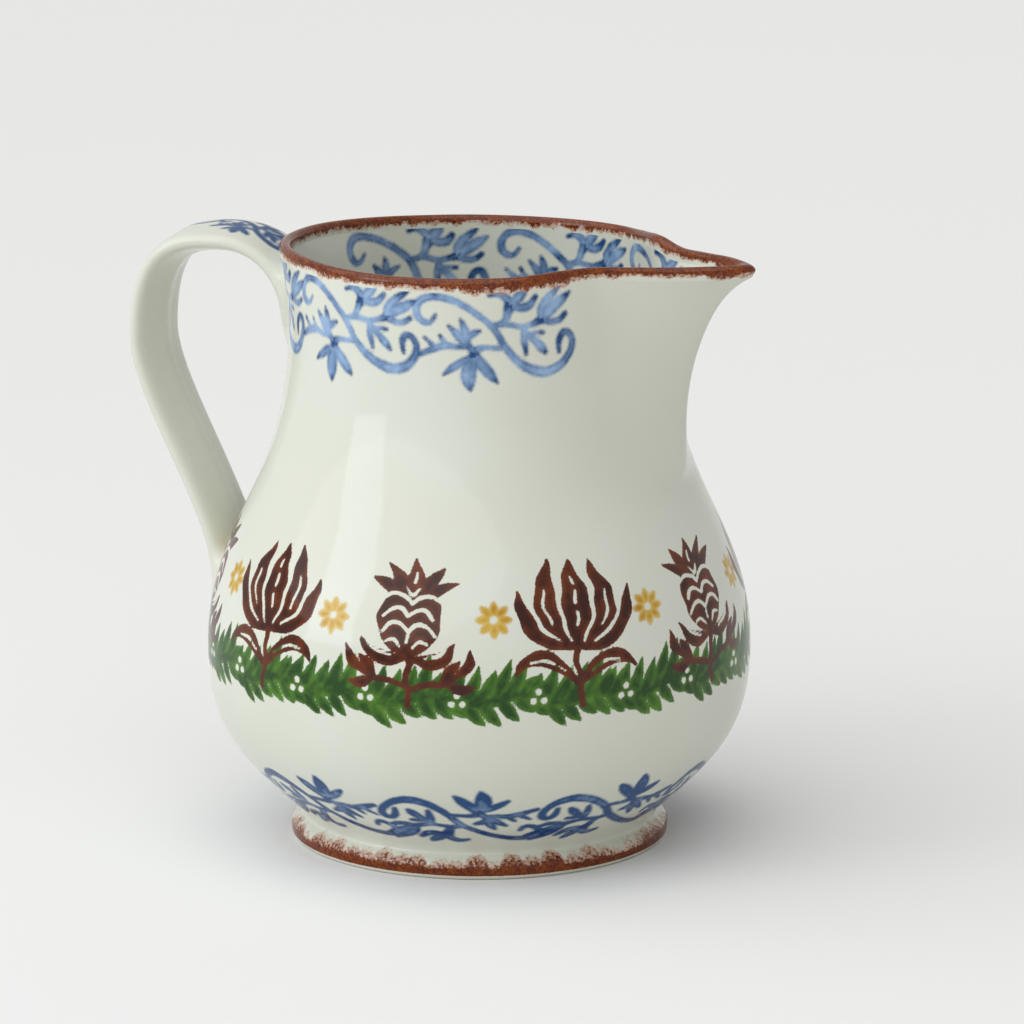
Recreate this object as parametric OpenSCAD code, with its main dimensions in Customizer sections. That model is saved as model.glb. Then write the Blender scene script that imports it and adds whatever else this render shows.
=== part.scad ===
// Farmhouse pitcher for about two pints, in glazed earthenware.
// The foot stands on z = 0, the spout points along +X and the handle along -X.

/* [Bowl] */
// Largest outer radius of the belly
belly_r = 68; // [60:0.5:76]
// Height of the widest place of the belly
belly_z = 49; // [42:0.5:56]
// Outer radius of the waist, where the bowl sits on its foot
waist_r = 44.6; // [40:0.2:48]
// Wall thickness of the bowl
wall_t = 4.5; // [3.5:0.1:6]
// Thickness of the floor
floor_t = 5; // [4:0.1:7]
// Radius of the flat part of the floor
floor_r = 30; // [26:0.5:36]
// Height where the bowl ends and the collar of the neck begins
collar_z = 92.5; // [84:0.5:100]

/* [Foot] */
// Height of the foot
foot_h = 7.3; // [6:0.1:9]
// Outer radius of the foot where it bulges most
foot_r = 47.4; // [45:0.1:50]
// Width of the ring that the pitcher stands on
foot_w = 5.4; // [4:0.1:8]
// Depth of the hollow under the floor
recess_h = 3; // [2:0.1:4]
// Rounding of the foot's outer bottom edge
foot_round = 1.5; // [0.8:0.1:2]
// Rounding of the foot's inner bottom edge
foot_inner_round = 0.8; // [0.4:0.1:1.2]

/* [Neck] */
// Outer radius of the neck where it is narrowest
neck_r = 47.2; // [43:0.2:50]
// Height where the neck is narrowest
neck_z = 131.5; // [124:0.5:138]

/* [Rim] */
// Height of the crest of the rim
rim_z = 149.7; // [144:0.1:156]
// Outer radius of the rim at the sides
rim_side_r = 47; // [45:0.1:50]
// Outer radius of the rim at the handle
rim_back_r = 50.2; // [48:0.1:53]
// How far the rim rises towards the handle
back_rise = 0.6; // [0:0.1:1.2]
// Thickness of the lip
lip_t = 3; // [2.4:0.1:4]
// Height of the rounded bead along the lip
lip_h = 3.2; // [2.6:0.1:4]

/* [Spout] */
// Reach of the tip of the spout from the axis
spout_reach = 72.8; // [66:0.2:80]
// Distance of the spout's keel from the axis below the beak
keel_x = 54.9; // [52:0.1:58]
// Height where the keel starts to curve outwards
beak_z = 106.5; // [98:0.5:114]
// Angle from the keel to the side of the spout, at its foot
spout_low_angle = 24; // [18:1:28]
// Angle from the keel to the side of the spout, at the rim
spout_high_angle = 31; // [26:1:33]
// Depth of the hollows pressed into the rim beside the spout
pinch_in = 1.2; // [0:0.1:2]
// How far the rim rises beside the spout
pinch_up = 0.8; // [0:0.1:1.4]
// How far the rim sags at the sides
side_sag = 0.4; // [0:0.1:1]

/* [Handle] */
// Room for the hand between the neck and the strap, where the handle is farthest out
hand_room = 39.7; // [30:0.1:47]
// Height of that place
handle_bend_z = 121.5; // [114:0.5:128]
// Height of the handle's centre line at its crown
crown_z = 147.6; // [140:0.2:152]
// Distance of the crown from the axis
crown_x = 66.3; // [60:0.5:72]
// Height of the centre line where the handle leaves the neck
root_z = 131.6; // [126:0.2:136]
// Height of the centre line where the handle joins the belly
tail_z = 59.5; // [52:0.5:66]
// Width of the strap
strap_w = 22.7; // [18:0.1:27]
// Thickness of the strap
strap_t = 6.2; // [5:0.1:8]
// Extra width of the strap where it is pressed onto the neck
root_spread = 3.4; // [0:0.2:6]
// Extra thickness of the strap there
root_swell = 5.5; // [0:0.2:8]
// Extra width of the strap where it is smoothed onto the belly
tail_spread = 3; // [0:0.2:6]
// Extra thickness of the strap there
tail_swell = 2.2; // [0:0.2:4]
// Height of the soft ridge along the inside of the strap
ridge_h = 0.7; // [0:0.1:1.2]
// Length of each luted joint, along the strap
joint_l = 11; // [8:0.5:14]

/* [Smoothness] */
// Segments of the round pieces
round_segments = 128; // [64:8:180]
// Steps around the collar of the neck
collar_steps = 56; // [40:2:80]
// Steps across the spout
spout_steps = 28; // [20:2:40]

/* [Hidden] */

glaze = [0.87, 0.87, 0.82];
brown = [0.45, 0.24, 0.13];
slip = [0.84, 0.83, 0.76];

// Shares of the bowl's outline: how far its curves run on before they turn
hip_out_share = 0.75;
hip_up_share = 0.39;
belly_down_share = 0.475;
belly_up_share = 0.38;
neck_down_share = 0.52;
profile_steps = 14;

// Shares of the hollow's outline, from the belly down to the floor
hollow_down_share = 0.68;
hollow_turn_share = 0.25;

// The foot's outline: where it bulges, and how it draws in to the waist
foot_steps = 6;
foot_inner_steps = 4;
foot_bulge_share = 0.4;
foot_hollow_power = 1.2;

// The flare from the neck to the rim, and the wall steps above the collar
flare_power = 1.6;
lower_rows = 9;
upper_rows = 7;
lip_arc_steps = 8;

// The keel's curve is a slow sweep with a quicker turn near the tip
sweep_share = 0.76;
sweep_power = 2.2;
turn_power = 12;
keel_start_share = 0.1;
beak_power = 2;
nose_angle = 1.8;
beak_crowding = 1.35;
slant_limit = 1.7;
angle_step = 0.5;

// Where the rim is pressed in and raised beside the spout, and where it sags
pinch_angle = 40;
pinch_spread = 22;
rise_angle = 33;
rise_spread = 26;
sag_angle = 95;
sag_spread = 50;
back_flare_angle = 125;
back_flare_spread = 50;

// The handle's three curves: how far each end runs on before it turns
root_angle = 70;
tail_angle = 84;
root_run_share = 1.06;
crown_in_share = 0.09;
crown_out_share = 0.44;
bend_up_share = 0.98;
bend_down_share = 0.235;
tail_run_share = 0.31;
// Where each curve of the handle ends, as shares of its length
root_curve_share = 0.19;
crown_curve_share = 0.46;
strap_sides = 28;
strap_power = 2.4;
joint_rings = 7;
strap_rings = 40;
ridge_spread_share = 0.3;

seat_z = rim_z - lip_h;
foot_in_r = foot_r - foot_w - foot_round;
spout_sector = spout_high_angle + 3;

lower_curve = [
    [waist_r, foot_h],
    [waist_r + hip_out_share * (belly_r - waist_r), foot_h + hip_up_share * (belly_z - foot_h)],
    [belly_r, belly_z - belly_down_share * (belly_z - foot_h)],
    [belly_r, belly_z]
];
upper_curve = [
    [belly_r, belly_z],
    [belly_r, belly_z + belly_up_share * (neck_z - belly_z)],
    [neck_r, neck_z - neck_down_share * (neck_z - belly_z)],
    [neck_r, neck_z]
];
collar_t = curve_at_z(upper_curve, collar_z);

function mix(a, b, t) = a + (b - a) * t;
function clamp01(x) = min(1, max(0, x));
function smooth(x) = let (c = clamp01(x)) c * c * (3 - 2 * c);
function bump(x, spread) = abs(x) < spread ? (1 + cos(180 * x / spread)) / 2 : 0;
function steps(n) = [for (i = [0 : n]) i / n];

// A cubic curve, its direction, and the place where it reaches a height
function cubic(p, t) =
    pow(1 - t, 3) * p[0] + 3 * pow(1 - t, 2) * t * p[1] + 3 * (1 - t) * t * t * p[2] + pow(t, 3) * p[3];
function cubic_way(p, t) =
    pow(1 - t, 2) * (p[1] - p[0]) + 2 * (1 - t) * t * (p[2] - p[1]) + t * t * (p[3] - p[2]);
function curve_at_z(p, z, low = 0, high = 1, turns = 24) =
    let (t = (low + high) / 2)
    turns == 0 ? t
        : cubic(p, t)[1] < z ? curve_at_z(p, z, t, high, turns - 1)
        : curve_at_z(p, z, low, t, turns - 1);
function inward(p, t, d) =
    let (way = cubic_way(p, t), l = norm(way))
    cubic(p, t) + d / l * [-way[1], way[0]];

// Wall thickness above the collar: it thins steadily towards the lip
function wall_at(z) = mix(wall_t, lip_t, clamp01((z - collar_z) / (seat_z - collar_z)));

// Rows of the wall above the collar: height, plain radius and share of the flare
wall_rows = concat(
    [for (s = steps(lower_rows)) let (p = cubic(upper_curve, mix(collar_t, 1, s))) [p[1], p[0], 0]],
    [for (i = [1 : upper_rows]) [mix(neck_z, seat_z, i / upper_rows), neck_r, i / upper_rows]]
);

// How far the rim stands out from the neck, and how it waves up and down, around the pitcher
function back_share(a) = smooth((abs(a) - back_flare_angle) / back_flare_spread);
function rim_flare(a) =
    rim_side_r - neck_r + (rim_back_r - rim_side_r) * back_share(a)
    - pinch_in * bump(abs(a) - pinch_angle, pinch_spread);
function rim_wave(a) =
    back_rise * back_share(a) + pinch_up * bump(abs(a) - rise_angle, rise_spread)
    - side_sag * bump(abs(a) - sag_angle, sag_spread);

// Distance of the spout's keel from the axis at a height
function keel_at(z) =
    let (k = clamp01((z - beak_z) / (seat_z - beak_z)))
    mix(keel_x, spout_reach, mix(pow(k, turn_power), pow(k, sweep_power), sweep_share));

// Outer radius of the wall at an angle from the spout, on a row
function outer_at(a, row) =
    let (
        plain = row[1] + rim_flare(a) * pow(row[2], flare_power),
        rise = clamp01((row[0] - collar_z) / (seat_z - collar_z)),
        side = mix(spout_low_angle, spout_high_angle, rise),
        off = sqrt(a * a + nose_angle * nose_angle) - nose_angle,
        beak = max(0, keel_at(row[0]) - plain) * smooth(rise / keel_start_share)
    )
    plain + beak * pow(max(0, 1 - off / side), beak_power);

// Inner radius: the wall is measured square to its surface, so it is cut longer where it slants
function inner_at(a, i) =
    let (
        row = wall_rows[i],
        low = wall_rows[max(0, i - 1)],
        high = wall_rows[min(len(wall_rows) - 1, i + 1)],
        r = outer_at(a, row),
        arc = r * 2 * angle_step * PI / 180,
        across = (outer_at(a + angle_step, row) - outer_at(a - angle_step, row)) / arc,
        up = (outer_at(i == 0 ? 180 : a, high) - outer_at(a, low)) / (high[0] - low[0]),
        slant = min(slant_limit, sqrt(1 + across * across + up * up))
    )
    r - wall_at(row[0]) * slant;

function polar(a, r, z) = [r * cos(a), r * sin(a), z];
function row_z(a, row) = row[0] + rim_wave(a) * row[2];
function outer_point(a, i) = polar(a, outer_at(a, wall_rows[i]), row_z(a, wall_rows[i]));
function inner_point(a, i) = polar(a, inner_at(a, i), row_z(a, wall_rows[i]));

// Angles around the collar, and across the spout with more of them at its nose
collar_angles = [for (s = steps(collar_steps)) mix(spout_sector, 360 - spout_sector, s)];
spout_angles = [for (s = steps(spout_steps)) let (u = 2 * s - 1)
    sign(u) * spout_sector * pow(abs(u), beak_crowding)];
function near(a) = a > 180 ? a - 360 : a;

// A solid through rings of points: each ring closes on itself, and the two ends are capped
function side_faces(a, b, n) =
    [for (j = [0 : n - 1]) let (k = (j + 1) % n) each [[a + j, a + k, b + j], [a + k, b + k, b + j]]];
function skin_faces(rings, n) = concat(
    [for (i = [0 : rings - 2]) each side_faces(i * n, (i + 1) * n, n)],
    [[for (j = [n - 1 : -1 : 0]) j]],
    [[for (j = [0 : n - 1]) (rings - 1) * n + j]]
);
module skin(sections) {
    n = len(sections[0]);
    polyhedron([for (s = sections) each s], skin_faces(len(sections), n), convexity = 6);
}

// One radial cut through the wall above the collar: up the outside and down the inside
function wall_section(a) =
    let (top = len(wall_rows) - 1)
    concat([for (i = [0 : top]) outer_point(a, i)], [for (i = [top : -1 : 0]) inner_point(a, i)]);

// One radial cut through the bead of the lip, standing on the top of the wall
function lip_section(a) =
    let (
        top = len(wall_rows) - 1,
        out = outer_point(a, top),
        in = inner_point(a, top),
        arch = lip_t / 2,
        side = lip_h - arch
    )
    concat([out], [for (s = steps(lip_arc_steps))
        mix(out, in, (1 - cos(180 * s)) / 2) + [0, 0, side + arch * sin(180 * s)]], [in]);

// The handle's centre line in the plane of the spout: out from the neck, over and down
handle_reach = neck_r + hand_room + strap_t / 2;
root_x = neck_r - wall_t / 3;
tail_x = belly_r - wall_t / 3;
handle_curves = [
    [
        [-root_x, root_z],
        [-root_x, root_z] + root_run_share * (crown_z - root_z) * [-cos(root_angle), sin(root_angle)],
        [-crown_x + crown_in_share * (crown_x - root_x), crown_z],
        [-crown_x, crown_z]
    ],
    [
        [-crown_x, crown_z],
        [-crown_x - crown_out_share * (handle_reach - crown_x), crown_z],
        [-handle_reach, handle_bend_z + bend_up_share * (crown_z - handle_bend_z)],
        [-handle_reach, handle_bend_z]
    ],
    [
        [-handle_reach, handle_bend_z],
        [-handle_reach, handle_bend_z - bend_down_share * (handle_bend_z - tail_z)],
        [-tail_x, tail_z] + tail_run_share * (handle_bend_z - tail_z) * [-cos(tail_angle), sin(tail_angle)],
        [-tail_x, tail_z]
    ]
];
function handle_part(s) = s < root_curve_share ? 0 : s < crown_curve_share ? 1 : 2;
function handle_t(s) =
    let (k = handle_part(s))
    k == 0 ? s / root_curve_share
        : k == 1 ? (s - root_curve_share) / (crown_curve_share - root_curve_share)
        : (s - crown_curve_share) / (1 - crown_curve_share);
function handle_point(s) = cubic(handle_curves[handle_part(s)], handle_t(s));
function handle_way(s) = let (w = cubic_way(handle_curves[handle_part(s)], handle_t(s))) w / norm(w);

// The joints' lengths as shares of the whole line, and how far a place lies into either joint.
// The extra width and thickness fade out over twice the joint's length.
handle_l = handle_reach - root_x + crown_z - root_z + crown_z - tail_z;
joint_share = joint_l / handle_l;
function in_root(s) = pow(clamp01(1 - s / (2 * joint_share)), 2);
function in_tail(s) = in_root(1 - s);

// One cut across the strap: a flattened round with a soft ridge on the side of the hand
function strap_section(s) =
    let (
        p = handle_point(s),
        way = handle_way(s),
        w = strap_w + root_spread * in_root(s) + tail_spread * in_tail(s),
        t = strap_t + root_swell * in_root(s) + tail_swell * in_tail(s)
    )
    [for (j = [0 : strap_sides - 1])
        let (
            a = 360 * j / strap_sides,
            y = sign(sin(a)) * pow(abs(sin(a)), 2 / strap_power),
            x = sign(cos(a)) * pow(abs(cos(a)), 2 / strap_power),
            ridge = x > 0 ? ridge_h * exp(-pow(y / ridge_spread_share, 2)) : 0,
            d = x * t / 2 + ridge
        )
        [p[0] - way[1] * d, y * w / 2, p[1] + way[0] * d]];
module strap(from, to, rings) {
    skin([for (s = steps(rings)) strap_section(mix(from, to, s))]);
}

// The pitcher's outline filled solid, as the handle's joints meet it
module filled_pot() {
    rotate_extrude($fn = round_segments)
        polygon(concat(
            [[0, foot_h]],
            [for (s = steps(profile_steps)) cubic(lower_curve, s)],
            [for (i = [1 : profile_steps]) cubic(upper_curve, collar_t * i / profile_steps)],
            [for (i = [1 : len(wall_rows) - 1]) [outer_at(180, wall_rows[i]), wall_rows[i][0]]],
            [[rim_back_r, rim_z], [0, rim_z]]
        ));
}

// The foot: a rounded ring that carries the bowl and keeps the floor off the table
module foot_ring() {
    color(brown)
    rotate_extrude($fn = round_segments)
        polygon(concat(
            [[foot_in_r, foot_h]],
            [for (s = steps(foot_inner_steps)) let (a = 180 + 90 * s)
                [foot_in_r + foot_inner_round, foot_inner_round] + foot_inner_round * [cos(a), sin(a)]],
            [for (s = steps(foot_steps)) let (a = -90 + 80 * s)
                [foot_r - foot_round, foot_round] + foot_round * [cos(a), sin(a)]],
            [for (s = steps(foot_steps)) let (a = 90 * s)
                [mix(waist_r, foot_r, pow(cos(a), foot_hollow_power)),
                 mix(foot_bulge_share * foot_h, foot_h, s)]]
        ));
}

// The floor of the bowl
module base_floor() {
    color(slip)
    translate([0, 0, recess_h])
        cylinder(h = floor_t, r = floor_r, $fn = round_segments);
}

// The lower wall of the bowl, from the foot to the widest place of the belly
module belly_wall() {
    floor_z = recess_h + floor_t;
    inside_r = belly_r - wall_t;
    hollow = [
        [inside_r, belly_z],
        [inside_r, belly_z - hollow_down_share * (belly_z - floor_z)],
        [mix(floor_r, inside_r, hollow_turn_share), floor_z],
        [floor_r, floor_z]
    ];
    color(glaze)
    rotate_extrude($fn = round_segments)
        polygon(concat(
            [for (s = steps(profile_steps)) cubic(lower_curve, s)],
            [for (s = steps(profile_steps)) cubic(hollow, s)],
            [[floor_r, recess_h], [foot_in_r, recess_h], [foot_in_r, foot_h]]
        ));
}

// The shoulder of the bowl, from the widest place of the belly to the collar
module shoulder_wall() {
    shoulder_t = [for (s = steps(profile_steps)) collar_t * s];
    color(glaze)
    rotate_extrude($fn = round_segments)
        polygon(concat(
            [for (t = shoulder_t) cubic(upper_curve, t)],
            [[inner_at(180, 0), collar_z]],
            [for (i = [profile_steps - 1 : -1 : 0]) inward(upper_curve, shoulder_t[i], wall_t)]
        ));
}

// The collar: the neck's wall, all the way round but for the spout
module neck_collar() {
    color(glaze)
    skin([for (a = collar_angles) wall_section(near(a))]);
}

// The spout: the front of the neck drawn out into a beak over a straight keel
module spout() {
    color(glaze)
    skin([for (a = spout_angles) wall_section(a)]);
}

// The lip: a rounded bead that runs all round the top of the neck and the spout
module rim_lip() {
    angles = concat(
        [for (i = [0 : spout_steps - 1]) spout_angles[i]],
        [for (i = [0 : collar_steps - 1]) near(collar_angles[i])]
    );
    sections = [for (a = angles) lip_section(a)];
    rings = len(sections);
    n = len(sections[0]);
    color(brown)
    polyhedron(
        [for (s = sections) each s],
        [for (i = [0 : rings - 1]) each side_faces(i * n, (i + 1) % rings * n, n)],
        convexity = 6
    );
}

// The strap of the handle, between its two joints
module handle_strap() {
    color(glaze)
    strap(joint_share, 1 - joint_share, strap_rings);
}

// The thick joint where the handle is pressed onto the neck under the rim
module upper_handle_joint() {
    color(slip)
    difference() {
        strap(0, joint_share, joint_rings);
        filled_pot();
    }
}

// The joint where the handle is smoothed down onto the belly
module lower_handle_joint() {
    color(slip)
    difference() {
        strap(1 - joint_share, 1, joint_rings);
        filled_pot();
    }
}

foot_ring();
base_floor();
belly_wall();
shoulder_wall();
neck_collar();
spout();
rim_lip();
handle_strap();
upper_handle_joint();
lower_handle_joint();
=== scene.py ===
"""A glazed farmhouse pitcher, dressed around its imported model.

Every wall is turned from its outline, as on a wheel, and the spout is then drawn out of the neck.
The underglaze painting is worked out from brush strokes, and is kept on each piece as attributes:
how deep a place lies inside the paint, in millimetres, plus PAINT_EDGE.
"""
import math
from types import SimpleNamespace

import bpy
import numpy as np
from bpy.props import FloatProperty, FloatVectorProperty, IntProperty, PointerProperty
from mathutils import Color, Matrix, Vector


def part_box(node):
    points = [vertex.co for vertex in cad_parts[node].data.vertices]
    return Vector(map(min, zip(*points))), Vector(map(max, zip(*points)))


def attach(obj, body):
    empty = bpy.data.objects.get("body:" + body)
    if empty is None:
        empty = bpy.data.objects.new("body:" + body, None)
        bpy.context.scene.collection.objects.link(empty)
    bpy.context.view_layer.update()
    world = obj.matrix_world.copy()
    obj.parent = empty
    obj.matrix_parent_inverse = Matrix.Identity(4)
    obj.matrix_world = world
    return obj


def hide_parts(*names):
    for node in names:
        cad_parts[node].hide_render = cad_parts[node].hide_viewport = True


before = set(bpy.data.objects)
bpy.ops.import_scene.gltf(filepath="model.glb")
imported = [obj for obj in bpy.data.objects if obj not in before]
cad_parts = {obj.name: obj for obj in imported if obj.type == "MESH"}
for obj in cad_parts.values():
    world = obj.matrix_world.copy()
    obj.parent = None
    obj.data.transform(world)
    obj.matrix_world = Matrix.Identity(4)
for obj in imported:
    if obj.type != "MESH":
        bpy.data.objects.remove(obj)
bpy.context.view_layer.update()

bl_info = {
    "name": "Glazed Pitcher",
    "version": (1, 0, 0),
    "blender": (4, 5, 0),
    "location": "3D View > Sidebar > Pitcher",
    "description": "Builds a painted and glazed farmhouse pitcher, piece by piece",
    "category": "Object",
}

MM = 0.001
# Points closer than this are merged, in metres
MERGE_GAP = 1e-6
# Faces that meet at less than this angle, in degrees, are shaded smooth
SMOOTH_ANGLE = 50
# How many points a curve is measured at
CURVE_POINTS, OUTLINE_POINTS = 2001, 1201

# Shares of the outlines: how far each curve runs on before it turns
HIP_OUT_SHARE = 0.75
HIP_UP_SHARE = 0.39
BELLY_DOWN_SHARE = 0.475
BELLY_UP_SHARE = 0.38
NECK_DOWN_SHARE = 0.52
HOLLOW_DOWN_SHARE = 0.68
HOLLOW_TURN_SHARE = 0.25
SHOULDER_UP_SHARE = 0.42
SHOULDER_DOWN_SHARE = 0.45
SHOULDER_OUT_SHARE = 0.22
FOOT_BULGE_SHARE = 0.4
FLANK_OUT_SHARE = 0.45
FLANK_IN_SHARE = 0.55

# Where the bowl rises out of its foot, in mm, and the share of the bowl's curve at which that ends
WAIST_DROP = 1.1
WAIST_RISE = 1.4
WAIST_RUN = 3.0
WAIST_TURN_SHARE = 0.11
# The step on a curve from which its slope is taken
SLOPE_STEP = 0.01
# The foot is wiped clean of glaze up to here, in mm
BARE_Z = 0.35

# Heights in mm where the painting begins or ends, because painted walls have finer faces
BASE_SCROLL_TOP_Z = 31
FRIEZE_FOOT_Z = 41
FRIEZE_TOP_Z = 87
NECK_SCROLL_FOOT_Z = 119
INSIDE_SCROLL_FOOT_Z = 117
# A narrow strip beside each seam keeps the shading straight there: as a share of the curve, and in mm
FOOT_SEAM_SHARE = 0.02
WAIST_SEAM_SHARE = 0.03
BOWL_SEAM_SHARE = 0.001
COLLAR_SEAM_SHARE = 0.0006
SEAM_STRIP = 0.06

# The flare of the rim and the drawn-out spout; angles are in degrees from the spout
FLARE_POWER = 1.6
SWEEP_SHARE = 0.76
SWEEP_POWER = 2.2
TURN_POWER = 12
KEEL_START_SHARE = 0.1
SLANT_LIMIT = 1.7
NOSE_ANGLE = 1.8
SPOUT_LOW_ANGLE = 24
SPOUT_HIGH_ANGLE = 31
PINCH_ANGLE, PINCH_SPREAD = 40, 22
RISE_ANGLE, RISE_SPREAD = 33, 26
SAG_ANGLE, SAG_SPREAD = 95, 50
BACK_FLARE_ANGLE, BACK_FLARE_SPREAD = 125, 50
NOSE_CROWDING = 0.35
# How far the lip leans out at the nose, in mm
NOSE_LEAN = 0.9
# The spout was pinched harder on its far side: angle, spread and lift of the rim in mm
FAR_LIFTS = ((42.0, 13.0, 0.15), (29.0, 14.0, 0.65), (20.0, 9.5, -0.6), (6.0, 6.0, 0.3))
FAR_START_ANGLE = 3

# The handle's line: how it leaves the neck and meets the belly, and how far each curve runs on
ROOT_ANGLE = 70
TAIL_ANGLE = 84
ROOT_RUN_SHARE = 1.06
CROWN_IN_SHARE = 0.09
CROWN_OUT_SHARE = 0.44
BEND_UP_SHARE = 0.98
BEND_DOWN_SHARE = 0.235
TAIL_RUN_SHARE = 0.31
# Its ends run on inside the pot, in mm: the step from the joint, the way from there, and the joint's turn
HIDDEN_ROOT, HIDDEN_ROOT_WAY, ROOT_TURN = (9.0, -12.0), (-3.0, 3.2), 5
HIDDEN_TAIL, HIDDEN_TAIL_WAY, TAIL_TURN = (7.5, -15.0), (-2.5, 4.5), 6
# How deep its hidden ends lie under the skin of the pot, in mm
SUNK_LEAST, SUNK_MOST = 0.3, 1.2
# A joint's share of the swelling, before it is squared, is 1 at the joint and up to this inside the pot
JOINT_FULLEST = 1.2
STRAP_SQUARENESS = 0.66
RIDGE_SPREAD_SHARE = 0.3
HANDLE_STEPS = 60
SECTION_STEPS = 24

# Depths inside paint are kept in mm plus PAINT_EDGE, from PAINT_EDGE outside it to PAINT_DEEPEST inside
PAINT_EDGE = 2.0
PAINT_DEEPEST = 4.0
# Towards its end a stroke pools: how much darker it gets, and from which share on
POOL_LOAD = 0.6
POOL_START = 0.6
# The blue: how much wider its strokes came out than they are drawn, in mm, and how full the brush was
NECK_BLUE = SimpleNamespace(wider=0.06, load=-0.2)
INSIDE_BLUE = SimpleNamespace(wider=0.14, load=-0.1)
BASE_BLUE = SimpleNamespace(wider=0.32, load=0.5)
HANDLE_BLUE = SimpleNamespace(wider=0.4, load=1.1)

# A scroll reaches no farther than this from its knot, in mm
SCROLL_HALF_WIDE, SCROLL_HALF_TALL = 24, 20
# Where the scrolls stand: angles in degrees from the spout, and lengths in mm
NECK_SCROLL_Z = 138.3
NECK_SCROLL_START = -61.9
NECK_SCROLL_STEP = 46.6
NECK_SCROLL_COUNT = 6
INSIDE_SCROLL_AT = (25.5, 80.2, 134.9, 217.0, 271.0)
INSIDE_BARE_ANGLE, INSIDE_BARE_SPREAD = -8, 22
BASE_SCROLL_UP = 12.0
BASE_SCROLL_TALL = 0.93
BASE_SCROLL_START = -72.6
BASE_SCROLL_COUNT = 9
BASE_LOAD_TOP_Z = 35
HANDLE_SCROLL_AT = 23.3
HANDLE_SCROLL_SIDE = 0.3
HANDLE_SCROLL_WIDE, HANDLE_SCROLL_TALL = 0.5, 0.46

# The frieze: its foot and reach along the wall in mm, and its blooms round the bowl
FRIEZE_UP = 51.6
FRIEZE_LOW, FRIEZE_HIGH = -14, 40
FRIEZE_START = -46.0
FRIEZE_COUNT = 10
GARLAND_PAIRS = 11
GARLAND_WAVE = 1.1
GARLAND_LAP = 6
BERRY_SHIFT = 1.5
BERRY_WAVE = 0.4
DAISY_UP, DAISY_WAVE = 19.5, 1.2
DAISY_EYE_EDGE = 0.1

# The sponge: how far its mark is solid and how far its tufts reach, and the width of a dab, in mm
FOOT_SPONGE = {"solid": 3.3, "reach": 7.0, "dab": 4.9, "seed": 5}
RIM_SPONGE = {"solid": 1.7, "reach": 3.9, "dab": 3.2, "seed": 11}
INSIDE_SPONGE = {"solid": 1.4, "reach": 3.5, "dab": 2.8, "seed": 12}
# It touched the foot no lower than this, in mm
FOOT_SPONGE_LOW_Z = 1.2
# Where it was pressed harder or softer along the rim: angle, spread and share
RIM_PRESSES = ((-62, 34, 0.3), (-20, 20, -0.15))
# Each tuft has its own height, load and place, and a narrow dome
TUFT_TOPS, TUFT_LOADS = (0.5, 1.0), (0.45, 0.95)
TUFT_SHIFT, TUFT_NARROWING = 0.22, 1.5
# How the solid part of a tuft ends, as shares of the solid depth
CORE_LOW, CORE_RISE, CORE_EDGE, CORE_ALWAYS = 0.85, 0.4, 0.35, 0.6
# Where it starts to fade, as such a share, the least length of the fading in mm, and how it falls off
FADE_START, FADE_LEAST, FADE_POWER = 0.75, 0.8, 0.7

# The grains that break up the painting and the glaze: name, size in mm, detail, roughness
GRAINS = (
    ("fine", 0.55, 2.0, 0.5), ("mottle", 0.6, 2.0, 0.5), ("stipple", 0.8, 3.0, 0.65),
    ("small", 2.2, 3.0, 0.5), ("patch", 6.0, 2.0, 0.5), ("ripple", 7.0, 1.0, 0.5),
    ("wave", 26.0, 1.0, 0.5), ("cloud", 45.0, 1.0, 0.5),
)
# How strongly two of them change how full the brush was
LOAD_GAINS = {"patch": 1.9, "small": 0.8}
# The paints from the lowest to the topmost: name, softness and raggedness of the edge in mm, and how
# dark it is along its edge and in its middle
PAINTS = (
    ("green", 0.2, 0.45, 0.45, 0.9), ("ochre", 0.45, 0.5, 0.1, 0.9),
    ("brown", 0.13, 0.35, 0.55, 0.9), ("blue", 0.55, 0.35, 0.62, 0.36),
)
# The edge of a stroke ends, and its middle begins, this deep inside the paint, in mm
TONE_EDGE, TONE_MIDDLE = 0.35, 1.3
# Grit of the bare clay in mm
CLAY_GRIT = 0.8

# The lights: name, azimuth from the camera and elevation in degrees, distance and size in metres, tint
LIGHTS = (
    ("window_light", -66, 21, 1.3, (0.5, 0.8), (0.9, 0.98, 1.1)),
    ("front_light", -20, 28, 2.2, (3.0, 1.6), (0.97, 1.0, 1.03)),
)
# The height in metres that they face
LIGHTS_AIM_Z = 0.08
# How the light of the sky is turned and how wide it spreads, in degrees
SKY_TILT, SKY_ROLL, SKY_SPREAD = 26, -20, 100
# Side of the floor in metres
FLOOR_SIZE = 12


def from_hex(colour):
    """A colour written as sRGB hex, as the linear values that shaders use."""
    parts = [int(colour[i:i + 2], 16) / 255 for i in (1, 3, 5)]
    return tuple(c / 12.92 if c <= 0.04045 else ((c + 0.055) / 1.055) ** 2.4 for c in parts)


def length(name, description, value):
    """A property that holds a length; value is in metres."""
    return FloatProperty(name=name, description=description, default=value, min=0.0, unit="LENGTH",
                         precision=5)


def angle(name, description, value):
    """A property that holds an angle; value is in degrees."""
    return FloatProperty(name=name, description=description, default=math.radians(value), subtype="ANGLE")


def number(name, description, value):
    """A property that holds a plain number."""
    return FloatProperty(name=name, description=description, default=value, min=0.0)


def colour(name, description, value):
    """A property that holds a colour; value is sRGB hex."""
    return FloatVectorProperty(name=name, description=description, default=from_hex(value),
                               min=0.0, max=1.0, subtype="COLOR", size=3)


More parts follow.
